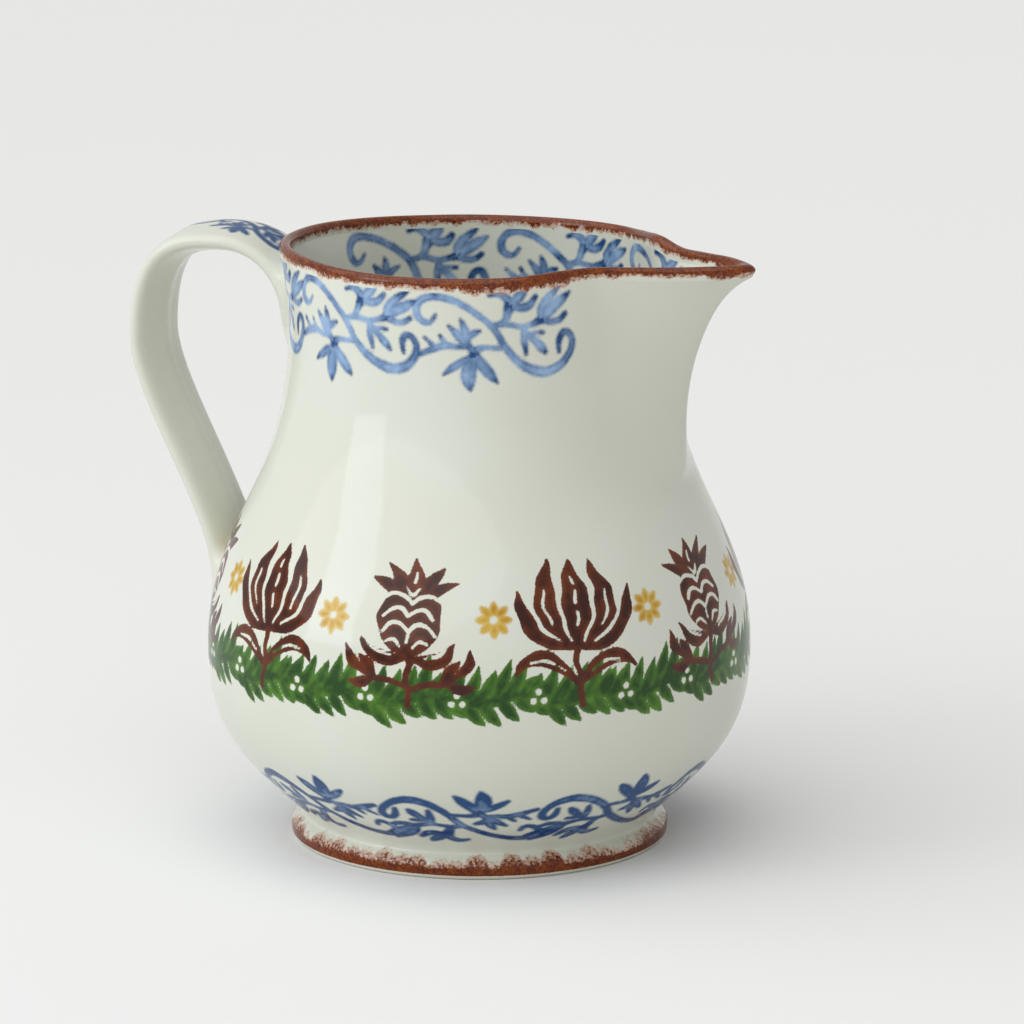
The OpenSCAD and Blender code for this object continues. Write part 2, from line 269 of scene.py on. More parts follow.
class PitcherForm(bpy.types.PropertyGroup):
    """The sizes of the thrown body and its spout."""
    belly_r: length("Belly radius", "Largest outer radius of the belly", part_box("belly_wall")[1].y)
    belly_z: length("Belly height", "Height of the widest place of the belly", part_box("belly_wall")[1].z)
    collar_z: length("Collar height", "Height where the neck's collar begins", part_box("shoulder_wall")[1].z)
    foot_h: length("Foot height", "Height of the foot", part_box("foot_ring")[1].z)
    foot_r: length("Foot radius", "Outer radius of the foot where it bulges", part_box("foot_ring")[1].y)
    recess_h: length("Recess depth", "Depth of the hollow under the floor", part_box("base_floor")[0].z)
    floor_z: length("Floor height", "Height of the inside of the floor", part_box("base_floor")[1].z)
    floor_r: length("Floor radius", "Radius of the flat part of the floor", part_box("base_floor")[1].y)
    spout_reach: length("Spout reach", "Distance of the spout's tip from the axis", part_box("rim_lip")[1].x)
    rim_back_r: length("Rim radius at the handle", "Outer radius of the rim at the handle",
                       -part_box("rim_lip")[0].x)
    waist_r: length("Waist radius", "Outer radius where the bowl sits on its foot", 0.0446)
    wall_t: length("Wall", "Thickness of the bowl's wall", 0.0045)
    foot_w: length("Foot width", "Width of the ring that the pitcher stands on", 0.0054)
    foot_round: length("Foot rounding", "Rounding of the foot's outer bottom edge", 0.0015)
    foot_inner_round: length("Foot inner rounding", "Rounding of the foot's inner bottom edge", 0.0008)
    neck_r: length("Neck radius", "Outer radius of the neck where it is narrowest", 0.0472)
    neck_z: length("Neck height", "Height where the neck is narrowest", 0.1315)
    rim_z: length("Rim height", "Height of the crest of the rim", 0.1497)
    rim_side_r: length("Rim radius", "Outer radius of the rim at the sides", 0.0470)
    lip_t: length("Lip thickness", "Thickness of the lip", 0.0030)
    lip_h: length("Lip height", "Height of the rounded bead along the lip", 0.0032)
    keel_x: length("Keel distance", "Distance of the spout's keel from the axis below the beak", 0.0549)
    beak_z: length("Beak height", "Height where the keel starts to curve outwards", 0.1065)
    pinch_in: length("Pinch", "Depth of the hollows beside the spout", 0.0012)
    pinch_up: length("Rise", "How far the rim rises beside the spout", 0.0008)
    side_sag: length("Sag", "How far the rim sags at the sides", 0.0004)
    back_rise: length("Back rise", "How far the rim rises towards the handle", 0.0006)
    belly_columns: IntProperty(name="Belly columns", description="Columns of faces round the bowl",
                               default=840, min=60)
    neck_columns: IntProperty(name="Neck columns", description="Columns of faces round the neck",
                              default=640, min=60)


class PitcherHandle(bpy.types.PropertyGroup):
    """The sizes of the pulled strap handle."""
    reach: length("Reach", "Distance of the handle's centre line from the axis", 0.090)
    bend_z: length("Bend height", "Height where the handle is farthest out", 0.1215)
    crown_z: length("Crown height", "Height of the centre line at the crown", 0.1476)
    crown_x: length("Crown distance", "Distance of the crown from the axis", 0.0663)
    root_z: length("Root height", "Height where the handle leaves the neck", 0.1316)
    tail_z: length("Tail height", "Height where the handle joins the belly", 0.0595)
    strap_w: length("Width", "Width of the strap", 0.0227)
    strap_t: length("Thickness", "Thickness of the strap", 0.0062)
    root_spread: length("Root spread", "Extra width at the neck", 0.0034)
    root_swell: length("Root swell", "Extra thickness at the neck", 0.0055)
    tail_spread: length("Tail spread", "Extra width at the belly", 0.0030)
    tail_swell: length("Tail swell", "Extra thickness at the belly", 0.0022)
    ridge_h: length("Ridge", "Height of the soft ridge inside the strap", 0.0007)
    joint_l: length("Joint length", "Length of each luted joint", 0.011)
    fillet: length("Fillet", "Radius of the clay smoothed into the joints", 0.0042)


class PitcherPaint(bpy.types.PropertyGroup):
    """The colours of the glaze and of the underglaze painting."""
    glaze: colour("Glaze", "Cream earthenware under a clear glaze", "#D6D8CC")
    glaze_pool: colour("Pooled glaze", "The glaze where it is thicker", "#D1D3C5")
    clay: colour("Bare clay", "The unglazed ring that the pitcher stands on", "#DDD2BB")
    blue_dark: colour("Blue, strong", "Cobalt where the brush was full", "#0C4276")
    blue_light: colour("Blue, thin", "Cobalt where the brush was nearly dry", "#8FACCE")
    brown_dark: colour("Brown, strong", "Iron brown where it is thick", "#360D03")
    brown_light: colour("Brown, thin", "Iron brown where it is thin", "#703006")
    edge_dark: colour("Edge, strong", "Sponged brown where it is thick", "#581A00")
    edge_light: colour("Edge, thin", "Sponged brown where it is thin", "#843E00")
    edge_wash: colour("Edge, washed", "Sponged brown where the sponge only touched", "#B98C74")
    green_dark: colour("Green, strong", "Chrome green where it is thick", "#1A4008")
    green_light: colour("Green, thin", "Chrome green where it is thin", "#4C7B1E")
    ochre_dark: colour("Ochre, strong", "Ochre where it is thick", "#AA780A")
    ochre_light: colour("Ochre, thin", "Ochre where it is thin", "#C8A648")


class PitcherStage(bpy.types.PropertyGroup):
    """The lights, the floor and the camera."""
    camera_distance: length("Camera distance", "Distance of the camera from the pitcher's axis", 1.4389)
    camera_z: length("Camera height", "Height of the camera", 0.4058)
    camera_azimuth: angle("Camera azimuth", "Turn of the camera round the axis", 22.9)
    camera_tilt: angle("Camera tilt", "Downward tilt of the camera", 12.684)
    camera_pan: angle("Camera pan", "Turn of the camera away from the axis", 0.326)
    camera_lens: number("Focal length", "Focal length in millimetres", 207.6)
    floor: colour("Floor", "Colour of the floor", "#EDEDEB")
    backdrop: colour("Background", "Colour behind the pitcher", "#DADBD9")
    window_power: number("Window light", "Power of the window light in watts", 2.8)
    front_power: number("Front light", "Power of the broad front light in watts", 2.5)
    sky_power: number("Sky light", "Strength of the even light from above", 1.9)
    ambient: number("Ambient", "Strength of the light from all round", 0.42)


def in_mm(group):
    """The lengths and counts of a property group as plain numbers, with the lengths in millimetres."""
    values = {}
    for key in group.__annotations__:
        value = getattr(group, key)
        if isinstance(value, (int, float)):
            values[key] = value if isinstance(value, int) else value / MM
    return SimpleNamespace(**values)


def form():
    """The body's sizes in millimetres."""
    sizes = in_mm(bpy.context.scene.pitcher_form)
    sizes.seat_z = sizes.rim_z - sizes.lip_h
    sizes.waist_z = sizes.foot_h - WAIST_DROP
    sizes.inside_r = sizes.belly_r - sizes.wall_t
    sizes.foot_in_r = sizes.foot_r - sizes.foot_w - sizes.foot_round
    return sizes


# Curves of the outline, in millimetres

def cubic(p, t):
    """Points of a cubic curve at the shares t."""
    p = np.asarray(p, float)
    t = np.atleast_1d(t)[:, None]
    return (1 - t) ** 3 * p[0] + 3 * (1 - t) ** 2 * t * p[1] + 3 * (1 - t) * t * t * p[2] + t ** 3 * p[3]


def stretch_of(p, start, end):
    """The part of a cubic curve between two shares, as a cubic curve of its own."""
    p = [np.asarray(q, float) for q in p]

    def halves(points, t):
        left, right = [points[0]], [points[-1]]
        while len(points) > 1:
            points = [a + (b - a) * t for a, b in zip(points, points[1:])]
            left.append(points[0])
            right.append(points[-1])
        return left, right[::-1]

    tail = halves(p, start)[1]
    return halves(tail, (end - start) / (1 - start))[0]


def straight(a, b):
    """A straight line as a cubic curve."""
    a, b = np.asarray(a, float), np.asarray(b, float)
    return [a, a + (b - a) / 3, a + (b - a) * 2 / 3, b]


def quarter(centre, radius, start, end):
    """A short arc as a cubic curve; the angles are in degrees."""
    a, b = math.radians(start), math.radians(end)
    k = 4 / 3 * math.tan((b - a) / 4) * radius
    centre = np.asarray(centre, float)
    p, q = (centre + radius * np.array([math.cos(v), math.sin(v)]) for v in (a, b))
    way_out, way_in = (k * np.array([-math.sin(v), math.cos(v)]) for v in (a, b))
    return [p, p + way_out, q - way_in, q]


def share_at_z(curve, z):
    """The share of a rising cubic curve where it reaches a height."""
    t = np.linspace(0, 1, CURVE_POINTS)
    return float(np.interp(z, cubic(curve, t)[:, 1], t))


def lower_curve(s):
    """The bowl's outside, from the waist to the belly."""
    rise = s.belly_z - s.foot_h
    return [(s.waist_r, s.foot_h),
            (s.waist_r + HIP_OUT_SHARE * (s.belly_r - s.waist_r), s.foot_h + HIP_UP_SHARE * rise),
            (s.belly_r, s.belly_z - BELLY_DOWN_SHARE * rise),
            (s.belly_r, s.belly_z)]


def upper_curve(s):
    """The bowl's outside, from the belly to the neck."""
    return [(s.belly_r, s.belly_z),
            (s.belly_r, s.belly_z + BELLY_UP_SHARE * (s.neck_z - s.belly_z)),
            (s.neck_r, s.neck_z - NECK_DOWN_SHARE * (s.neck_z - s.belly_z)),
            (s.neck_r, s.neck_z)]


def outside_line(s):
    """Close points along the outside, from the waist to the neck."""
    t = np.linspace(0, 1, OUTLINE_POINTS)
    return np.vstack([cubic(lower_curve(s), t), cubic(upper_curve(s), t)[1:]])


def plain_radius(s, z):
    """Outer radius of the body at a height, before the rim flares and the spout is drawn out."""
    line = outside_line(s)
    return np.interp(z, line[:, 1], line[:, 0])


def arc_length(s, z):
    """Length of the outline from the waist up to a height."""
    line = outside_line(s)
    run = np.concatenate([[0], np.cumsum(np.hypot(*np.diff(line, axis=0).T))])
    return np.interp(z, line[:, 1], run) + np.maximum(0, z - s.neck_z) + np.minimum(0, z - s.foot_h)


def smooth(x):
    """Rises gently from 0 to 1."""
    x = np.clip(x, 0, 1)
    return x * x * (3 - 2 * x)


def bump(x, spread):
    """A soft bump of height 1 that ends at the spread."""
    return np.where(np.abs(x) < spread, (1 + np.cos(np.pi * x / spread)) / 2, 0)


def mix(a, b, t):
    """The value at the share t of the way from a to b."""
    return a + (b - a) * t


def ramp(x, low, high):
    """How far x has come from low to high, from 0 to 1."""
    return np.clip((x - low) / (high - low), 0, 1)


def wall_at(s, z):
    """Thickness of the wall: above the collar it thins steadily towards the lip."""
    return mix(s.wall_t, s.lip_t, ramp(z, s.collar_z, s.seat_z))


def back_share(a):
    """How far the rim has opened towards the handle: 0 at the sides and 1 at the back."""
    return smooth((np.abs(a) - BACK_FLARE_ANGLE) / BACK_FLARE_SPREAD)


def rim_flare(s, a):
    """How far the rim stands out from the neck, at an angle in degrees from the spout."""
    pinch = s.pinch_in * bump(np.abs(a) - PINCH_ANGLE, PINCH_SPREAD)
    return s.rim_side_r - s.neck_r + (s.rim_back_r - s.rim_side_r) * back_share(a) - pinch


def rim_wave(s, a):
    """How far the rim waves up and down."""
    rise = s.back_rise * back_share(a) + s.pinch_up * bump(np.abs(a) - RISE_ANGLE, RISE_SPREAD)
    far = smooth(a / FAR_START_ANGLE)
    rise = rise + sum(far * lift * bump(a - middle, spread) for middle, spread, lift in FAR_LIFTS)
    return rise - s.side_sag * bump(np.abs(a) - SAG_ANGLE, SAG_SPREAD)


def rise_share(s, z):
    """The share of the flare at a height: 0 at the neck and 1 at the seat of the lip."""
    return ramp(z, s.neck_z, s.seat_z)


def keel_at(s, z):
    """Distance of the spout's keel from the axis at a height."""
    k = ramp(z, s.beak_z, s.seat_z)
    return mix(s.keel_x, s.spout_reach - NOSE_LEAN, mix(k ** TURN_POWER, k ** SWEEP_POWER, SWEEP_SHARE))


def beak_share(a, side):
    """How far an angle takes part in the spout: 1 at the nose and 0 beside the spout."""
    off = np.sqrt(a * a + NOSE_ANGLE ** 2) - NOSE_ANGLE
    return np.maximum(0, 1 - off / side) ** 2


def outer_radius(s, a, z):
    """Outer radius of the wall above the collar, at an angle in degrees from the spout."""
    plain = plain_radius(s, z) + rim_flare(s, a) * rise_share(s, z) ** FLARE_POWER
    rise = ramp(z, s.collar_z, s.seat_z)
    side = mix(SPOUT_LOW_ANGLE, SPOUT_HIGH_ANGLE, rise)
    beak = np.maximum(0, keel_at(s, z) - plain) * smooth(rise / KEEL_START_SHARE)
    return plain + beak * beak_share(a, side)


def inner_radius(s, a, z):
    """Inner radius: the wall is measured square to its surface."""
    step, rise = 0.5, 1.2
    r = outer_radius(s, a, z)
    across = (outer_radius(s, a + step, z) - outer_radius(s, a - step, z)) / (r * math.radians(2 * step))
    low, high = np.maximum(z - rise, s.collar_z), np.minimum(z + rise, s.seat_z)
    up = (outer_radius(s, a, high) - outer_radius(s, a, low)) / (high - low)
    return r - wall_at(s, z) * np.minimum(SLANT_LIMIT, np.sqrt(1 + across ** 2 + up ** 2))


# Modelling, with the object in edit mode where a step needs it

def select_only(piece):
    """Leaves one object selected and active."""
    bpy.ops.object.select_all(action="DESELECT")
    piece.select_set(True)
    bpy.context.view_layer.objects.active = piece


def draw_curves(name, splines):
    """Draws curves in the XZ plane; each is its (place, way in, way out) points in mm, and its steps."""
    bpy.ops.object.select_all(action="DESELECT")
    bpy.ops.curve.primitive_bezier_curve_add(location=(0, 0, 0))
    drawn = bpy.context.object
    drawn.name = name
    drawn.data.dimensions = "3D"
    drawn.data.splines.clear()
    for points, steps in splines:
        spline = drawn.data.splines.new("BEZIER")
        spline.bezier_points.add(len(points) - 1)
        spline.resolution_u = steps
        for point, spots in zip(spline.bezier_points, points):
            point.handle_left_type = point.handle_right_type = "FREE"
            for key, (x, z) in zip(("co", "handle_left", "handle_right"), spots):
                setattr(point, key, Vector((x * MM, 0, z * MM)))
    return drawn


def to_mesh(curve):
    """Turns a curve into a mesh."""
    select_only(curve)
    bpy.ops.object.convert(target="MESH")
    return bpy.context.object


def edit_all(piece, *steps):
    """Takes all of a piece into edit mode, and runs some steps on it."""
    select_only(piece)
    bpy.ops.object.mode_set(mode="EDIT")
    bpy.ops.mesh.select_all(action="SELECT")
    for step in steps:
        step()
    bpy.ops.object.mode_set(mode="OBJECT")


def merge_points():
    """Merges doubled points."""
    bpy.ops.mesh.remove_doubles(threshold=MERGE_GAP)


def face_outwards():
    """Turns all faces outwards."""
    bpy.ops.mesh.normals_make_consistent(inside=False)


def lathe(name, stretches, columns):
    """Turns a closed outline once round the axis; each stretch is a cubic curve in mm and its steps."""
    piece = to_mesh(draw_curves(name, [(((p, p, q), (v, u, v)), steps) for (p, q, u, v), steps in stretches]))
    edit_all(piece, merge_points)
    bpy.ops.object.modifier_add(type="SCREW")
    turn = piece.modifiers[-1]
    turn.angle = 2 * math.pi
    turn.axis = "Z"
    turn.steps = turn.render_steps = columns
    turn.use_merge_vertices = True
    turn.merge_threshold = MERGE_GAP
    bpy.ops.object.modifier_apply(modifier=turn.name)
    edit_all(piece, merge_points, face_outwards)
    return piece


def places(piece):
    """The places of a piece's vertices, in millimetres."""
    co = np.empty(len(piece.data.vertices) * 3, np.float32)
    piece.data.vertices.foreach_get("co", co)
    return co.reshape(-1, 3).astype(float) / MM


def put_places(piece, co):
    """Moves a piece's vertices; co is in millimetres."""
    piece.data.vertices.foreach_set("co", (co * MM).astype(np.float32).ravel())
    piece.data.update()


def put_polar(piece, a, r, z):
    """Moves a piece's vertices to angles in degrees, radii and heights."""
    put_places(piece, np.stack([r * np.cos(np.radians(a)), r * np.sin(np.radians(a)), z], -1))


def polar(co):
    """Angle from the spout in degrees, radius and height of each place."""
    return np.degrees(np.arctan2(co[:, 1], co[:, 0])), np.hypot(co[:, 0], co[:, 1]), co[:, 2]


def crowd(a):
    """Turns even columns so that they stand closer at the nose of the spout."""
    return a - math.degrees(NOSE_CROWDING) * np.sin(np.radians(a))


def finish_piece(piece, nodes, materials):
    """Gives a piece its smooth shading, finish, body and slot, and its place for the solids."""
    select_only(piece)
    bpy.ops.object.shade_smooth_by_angle(angle=math.radians(SMOOTH_ANGLE))
    for material in materials:
        piece.data.materials.append(material)
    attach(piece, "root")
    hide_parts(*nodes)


# Painting: strokes are brush lines of (x, y, half width) in millimetres

SCROLL_STEM = [
    (-14.6, 2.8, .45), (-15.6, 1.3, .6), (-17.2, .9, .8), (-18.9, 2.3, .95), (-19.3, 4.6, 1.0),
    (-18.0, 6.6, 1.0), (-15.5, 7.3, .95), (-12.6, 6.9, .9), (-9.6, 5.8, .85), (-6.4, 4.0, .85),
    (-3.4, 1.8, .85), (-1.2, -.2, .9), (.2, -2.4, .9), (1.6, -5.0, .9), (4.2, -7.9, 1.0),
    (7.9, -10.4, 1.15), (12.2, -11.6, 1.3), (15.8, -10.5, 1.2), (18.0, -8.0, 1.0), (18.8, -5.2, .9),
    (17.9, -3.1, .85), (16.2, -2.9, .85), (15.2, -4.7, .8), (15.3, -7.2, .5),
]
SCROLL_SPRIGS = [
    # upper sprig
    [(-.6, .2, .7), (1.4, .6, .8), (2.4, 1.8, .9), (2.9, 3.4, 1.1), (3.6, 5.2, 1.5)],
    [(3.6, 5.6, 1.2), (2.2, 7.2, 1.0), (.4, 7.9, .8), (-1.6, 7.4, .5)],
    [(4.2, 5.6, 1.3), (5.6, 7.0, 1.4), (6.6, 8.0, 1.1), (7.2, 8.9, .4)],
    [(4.6, 5.0, 1.1), (6.4, 4.5, 1.1), (8.3, 4.9, 1.1), (9.8, 6.6, .7)],
    # right sprig
    [(2.0, .6, .7), (4.4, .2, .7), (6.6, -.2, .75), (9.0, .4, .8), (11.4, 1.2, 1.2)],
    [(11.2, 1.6, 1.1), (11.4, 3.6, 1.2), (13.2, 5.8, 1.2), (16.2, 8.2, .4)],
    [(12.0, 1.8, 1.2), (13.8, 3.2, 1.5), (16.2, 4.6, 1.3), (18.6, 6.0, .5)],
    [(11.6, 1.0, 1.0), (13.4, .2, .8), (15.6, .3, .8), (17.3, 1.4, .7)],
    # forked sprig inside the curl
    [(6.4, -.3, .8), (6.6, -1.6, .9), (6.4, -3.8, .9), (6.9, -6.8, .5)],
    [(7.0, -1.8, .9), (9.0, -3.6, .9), (10.6, -5.4, 1.1), (11.8, -6.9, .5)],
    [(7.2, -2.2, .7), (9.2, -1.9, .6), (11.2, -2.0, .5)],
    # hanging flower
    [(1.2, -5.4, .7), (-1.0, -5.5, .6), (-3.4, -5.5, .7), (-5.2, -6.2, 1.0), (-5.8, -7.8, 1.4)],
    [(-5.8, -8.2, 1.2), (-8.6, -9.2, 1.1), (-10.8, -10.6, 1.0), (-12.6, -12.0, .4)],
    [(-5.9, -8.4, 1.4), (-6.6, -11.0, 1.9), (-6.5, -13.4, 1.7), (-6.0, -15.8, .5)],
    [(-5.2, -8.2, 1.3), (-3.2, -10.2, 1.4), (-1.2, -12.2, 1.2), (.4, -13.8, .4)],
    # small sprig over it
    [(-6.0, -6.4, .9), (-7.4, -4.9, .9), (-7.7, -2.4, 1.2), (-8.0, -.2, .9), (-8.6, 1.4, .3)],
    [(-7.8, -4.6, 1.0), (-9.4, -2.6, 1.2), (-11.6, -.2, .4)],
    [(-7.6, -3.4, .8), (-6.0, -2.2, .9), (-4.2, -1.4, .4)],
    # twig towards the next curl
    [(-6.8, -5.2, .7), (-9.8, -5.4, .7), (-12.6, -4.9, .9), (-15.6, -5.6, .9), (-18.6, -6.8, .7),
     (-20.0, -7.3, .6)],
    [(-12.6, -4.9, .8), (-14.0, -2.4, .4)],
    [(-15.2, -5.3, .8), (-17.8, -2.8, .4)],
]
SCROLL = [SCROLL_STEM] + SCROLL_SPRIGS
# On the handle the scroll ends in one long tail
HANDLE_TAIL = [(-18.6, 5.4, .6), (-21.0, 2.8, .6), (-24.5, .6, .65), (-29.0, 0, .6), (-35.0, 3.0, .4)]


def both_sides(strokes):
    """Strokes and their mirror images."""
    return strokes + [[(-x, y, w) for x, y, w in stroke] for stroke in strokes]


def petals(count, inner, outer, width):
    """Even petals around the middle."""
    strokes = []
    for i in range(count):
        a = 2 * math.pi * i / count
        strokes.append([(math.cos(a) * d, math.sin(a) * d, w) for d, w in (
            (inner, width * .55), ((inner + outer) / 2, width), (outer, width * .5))])
    return strokes


TULIP = [
    [(0, -2, .8), (.5, 4, .8), (-.3, 9, .8), (0, 13.5, 1.2)],
    [(0, 13.0, 1.6), (0, 18, 3.3), (0, 24, 3.6), (0, 29.5, 2.0), (0, 33.5, .3)],
] + both_sides([
    [(1.2, 12.8, 1.4), (4.6, 15.2, 2.7), (7.2, 19.8, 3.1), (7.6, 25.2, 2.5), (5.9, 30.4, 1.3),
     (5.2, 33.4, .3)],
    [(2.0, 12.2, 1.0), (7.2, 13.4, 1.8), (11.6, 17.0, 2.0), (13.8, 21.8, 1.5), (14.4, 26.0, .3)],
    [(.3, 3.2, .6), (4.6, 7.4, 1.7), (9.4, 9.6, 2.0), (13.6, 8.4, 1.2), (16.0, 5.8, .2)],
])
TULIP_RESIST = [
    [(0, 17.5, .4), (0, 20.5, .42)], [(0, 22.8, .42), (0, 25.6, .4)], [(0, 27.6, .36), (0, 29.2, .3)],
] + both_sides([
    [(1.6, 13.6, .3), (3.5, 17.6, .5), (4.4, 22.4, .5), (3.7, 27.0, .48), (2.6, 31.0, .3)],
    [(4.4, 13.6, .3), (8.8, 16.4, .5), (11.0, 20.4, .48), (11.6, 24.0, .3)],
    [(6.6, 17.6, .3), (8.2, 21.6, .4), (7.8, 25.8, .3)],
    [(3.4, 6.4, .25), (7.6, 8.7, .4), (11.6, 8.6, .25)],
])
POMEGRANATE = [
    [(0, -2, .8), (-.6, 4, .8), (.3, 8, .9), (0, 11.5, 1.6)],
    [(0, 14.6, 4.6), (0, 18.4, 7.9), (0, 21.4, 7.2)],
    [(0, 25.5, 3.4), (0, 29.0, 2.2), (0, 33.6, .3)],
] + both_sides([
    [(2.0, 26.0, 2.0), (4.2, 29.0, 1.6), (6.8, 32.2, .3)],
    [(3.4, 25.0, 1.5), (7.2, 27.4, 1.3), (10.6, 28.8, .3)],
    [(1.6, 9.4, .9), (5.6, 9.2, 1.9), (9.4, 11.0, 1.5), (11.8, 14.2, .3)],
    [(.4, 2.2, .6), (4.4, 3.8, .8), (8.6, 4.4, .8), (12.6, 6.8, .7)],
    [(8.6, 4.6, .8), (10.4, 7.6, 1.5), (12.6, 10.0, .3)],
    [(12.2, 6.6, .8), (14.8, 9.0, 1.4), (15.6, 12.6, .3)],
    [(9.2, 4.4, .7), (12.6, 3.2, 1.4), (16.0, 3.8, .3)],
])
POMEGRANATE_RESIST = [
    [(0, 13.2, .4), (0, 15.2, .4)],
    [(-1.7, 26.6, .25), (0, 24.8, .5), (1.7, 26.6, .25)],
    [(0, 28.0, .4), (0, 30.4, .3)],
] + both_sides([
    [(7.6, 23.6, .4), (4.6, 25.0, .5), (1.6, 24.2, .5), (0, 22.6, .4)],
    [(0, 19.6, .45), (2.2, 21.4, .5), (4.4, 21.2, .5), (6.2, 19.4, .45)],
    [(0, 15.9, .45), (2.2, 17.8, .5), (4.6, 17.6, .5), (6.6, 15.6, .4)],
    [(1.5, 12.0, .3), (3.2, 13.8, .45), (5.2, 13.4, .35)],
    [(4.2, 9.9, .3), (8.0, 11.2, .4), (10.0, 13.0, .25)],
])
DAISY = petals(8, 1.2, 4.0, 1.15)
DAISY_EYE = [[(-.1, 0, 1.0), (.1, 0, 1.0)]]
BERRIES = [[(x, y, .82), (x + .05, y, .82)] for x, y in ((-1.35, -.7), (1.35, -.7), (0, 1.55))]
BLOOMS = ((TULIP, TULIP_RESIST), (POMEGRANATE, POMEGRANATE_RESIST))


def garland(period, pairs):
    """A leafy stem that winds along, thick with pointed leaves above and below it."""
    def height(x):
        return GARLAND_WAVE * math.sin(4 * math.pi * x / period)

    stem, leaves = [], []
    for i in range(4 * pairs + 1):
        x = period * (i / (4 * pairs) - .5)
        stem.append((x, height(x), 1.5 + .35 * math.sin(9.0 * i)))
    for i in range(pairs):
        x = period * ((i + .5) / pairs - .5)
        y = height(x)
        tall = 1 + .2 * math.sin(2.4 * i) + .12 * math.sin(5.1 * i + 1)
        low = 1 + .2 * math.sin(1.9 * i + 2)
        leaves.append([(x - 1.6, y, 1.0), (x, y + 3.0 * tall, 1.75), (x + 1.1, y + 5.6 * tall, 1.25),
                       (x + 2.0, y + 8.4 * tall, .15)])
        leaves.append([(x - 1.0, y, 1.0), (x + .8, y - 2.4 * low, 1.7), (x + 2.4, y - 4.0 * low, 1.1),
                       (x + 3.8, y - 5.2 * low, .15)])
        leaves.append([(x + .6, y, 1.0), (x + 2.6, y + 2.2, 1.5), (x + 4.4, y + 5.0 * low, .2)])
    return [stem] + leaves


def brush_line(stroke, steps=4):
    """A stroke made dense and smooth."""
    p = np.array(stroke, float)
    ends = np.vstack([2 * p[0] - p[1], p, 2 * p[-1] - p[-2]])
    t = np.linspace(0, 1, steps, endpoint=False)[:, None]
    rows = [(2 * b + (c - a) * t + (2 * a - 5 * b + 4 * c - d) * t ** 2
             + (3 * b - a - 3 * c + d) * t ** 3) / 2
            for a, b, c, d in zip(ends, ends[1:], ends[2:], ends[3:])]
    return np.vstack(rows + [p[-1:]])


def depth_in(strokes, x, y, along=None):
    """How deep each place lies inside the strokes, in mm; outside them it is below zero.

    along, where given, is filled with the share of its stroke at which each place lies.
    """
    deep = np.full(x.shape, -PAINT_EDGE)
    for stroke in strokes:
        line = brush_line(stroke)
        reach = line[:, 2].max() + PAINT_EDGE
        near = np.flatnonzero((x > line[:, 0].min() - reach) & (x < line[:, 0].max() + reach)
                              & (y > line[:, 1].min() - reach) & (y < line[:, 1].max() + reach))
        if not len(near):
            continue
        a, b = line[:-1], line[1:]
        way = b[:, :2] - a[:, :2]
        px, py = x[near, None] - a[:, 0], y[near, None] - a[:, 1]
        t = np.clip((px * way[:, 0] + py * way[:, 1]) / np.maximum(1e-9, (way ** 2).sum(1)), 0, 1)
        gap = np.hypot(px - t * way[:, 0], py - t * way[:, 1])
        inside = a[:, 2] + t * (b[:, 2] - a[:, 2]) - gap
        found = inside.max(1)
        if along is not None:
            deeper = found > deep[near]
            along[near[deeper]] = inside.argmax(1)[deeper] / (len(a) - 1)
        deep[near] = np.maximum(deep[near], found)
    return deep


def around(a, middle):
    """Angles measured from a middle, from -180 to 180 degrees."""
    return (a - middle + 180) % 360 - 180


def store(piece, name, value):
    """Keeps one number for each vertex as an attribute."""
    attribute = piece.data.attributes.new(name, "FLOAT", "POINT")
    attribute.data.foreach_set("value", value.astype(np.float32))


def store_paint(piece, name, deep):
    """Keeps the depth inside a paint; PAINT_EDGE is its edge and 0 is far outside."""
    store(piece, name, np.clip(deep + PAINT_EDGE, 0, PAINT_DEEPEST + PAINT_EDGE))


def swayed(value, other, size, pace, start):
    """A coordinate in mm that wanders as the other one runs on; pace is in radians per mm."""
    return value + size * np.sin(pace * other + start)


def paint_scroll(a, r, height, middles, rightwards, tall=1.0):
    """The blue scroll, repeated at some angles: its depth, and how far the paint ran to the strokes' ends.

    height is measured from the knot of the scroll.
    """
    deep = np.full(a.shape, -PAINT_EDGE)
    pooled = np.zeros(a.shape)
    for k, middle in enumerate(middles):
        x = rightwards * np.radians(around(a, middle)) * r
        near = np.flatnonzero((np.abs(x) < SCROLL_HALF_WIDE) & (np.abs(height) < SCROLL_HALF_TALL))
        v = height[near] / tall
        u = swayed(x[near], v, size=.35, pace=.31, start=1.7 * k)
        v = swayed(v, u, size=.3, pace=.23, start=2.3 * k)
        along = np.zeros(len(near))
        found = depth_in(SCROLL, u, v, along)
        deeper = found > deep[near]
        deep[near[deeper]] = found[deeper]
        pooled[near[deeper]] = POOL_LOAD * smooth((along[deeper] - POOL_START) / (1 - POOL_START))
    return deep, pooled


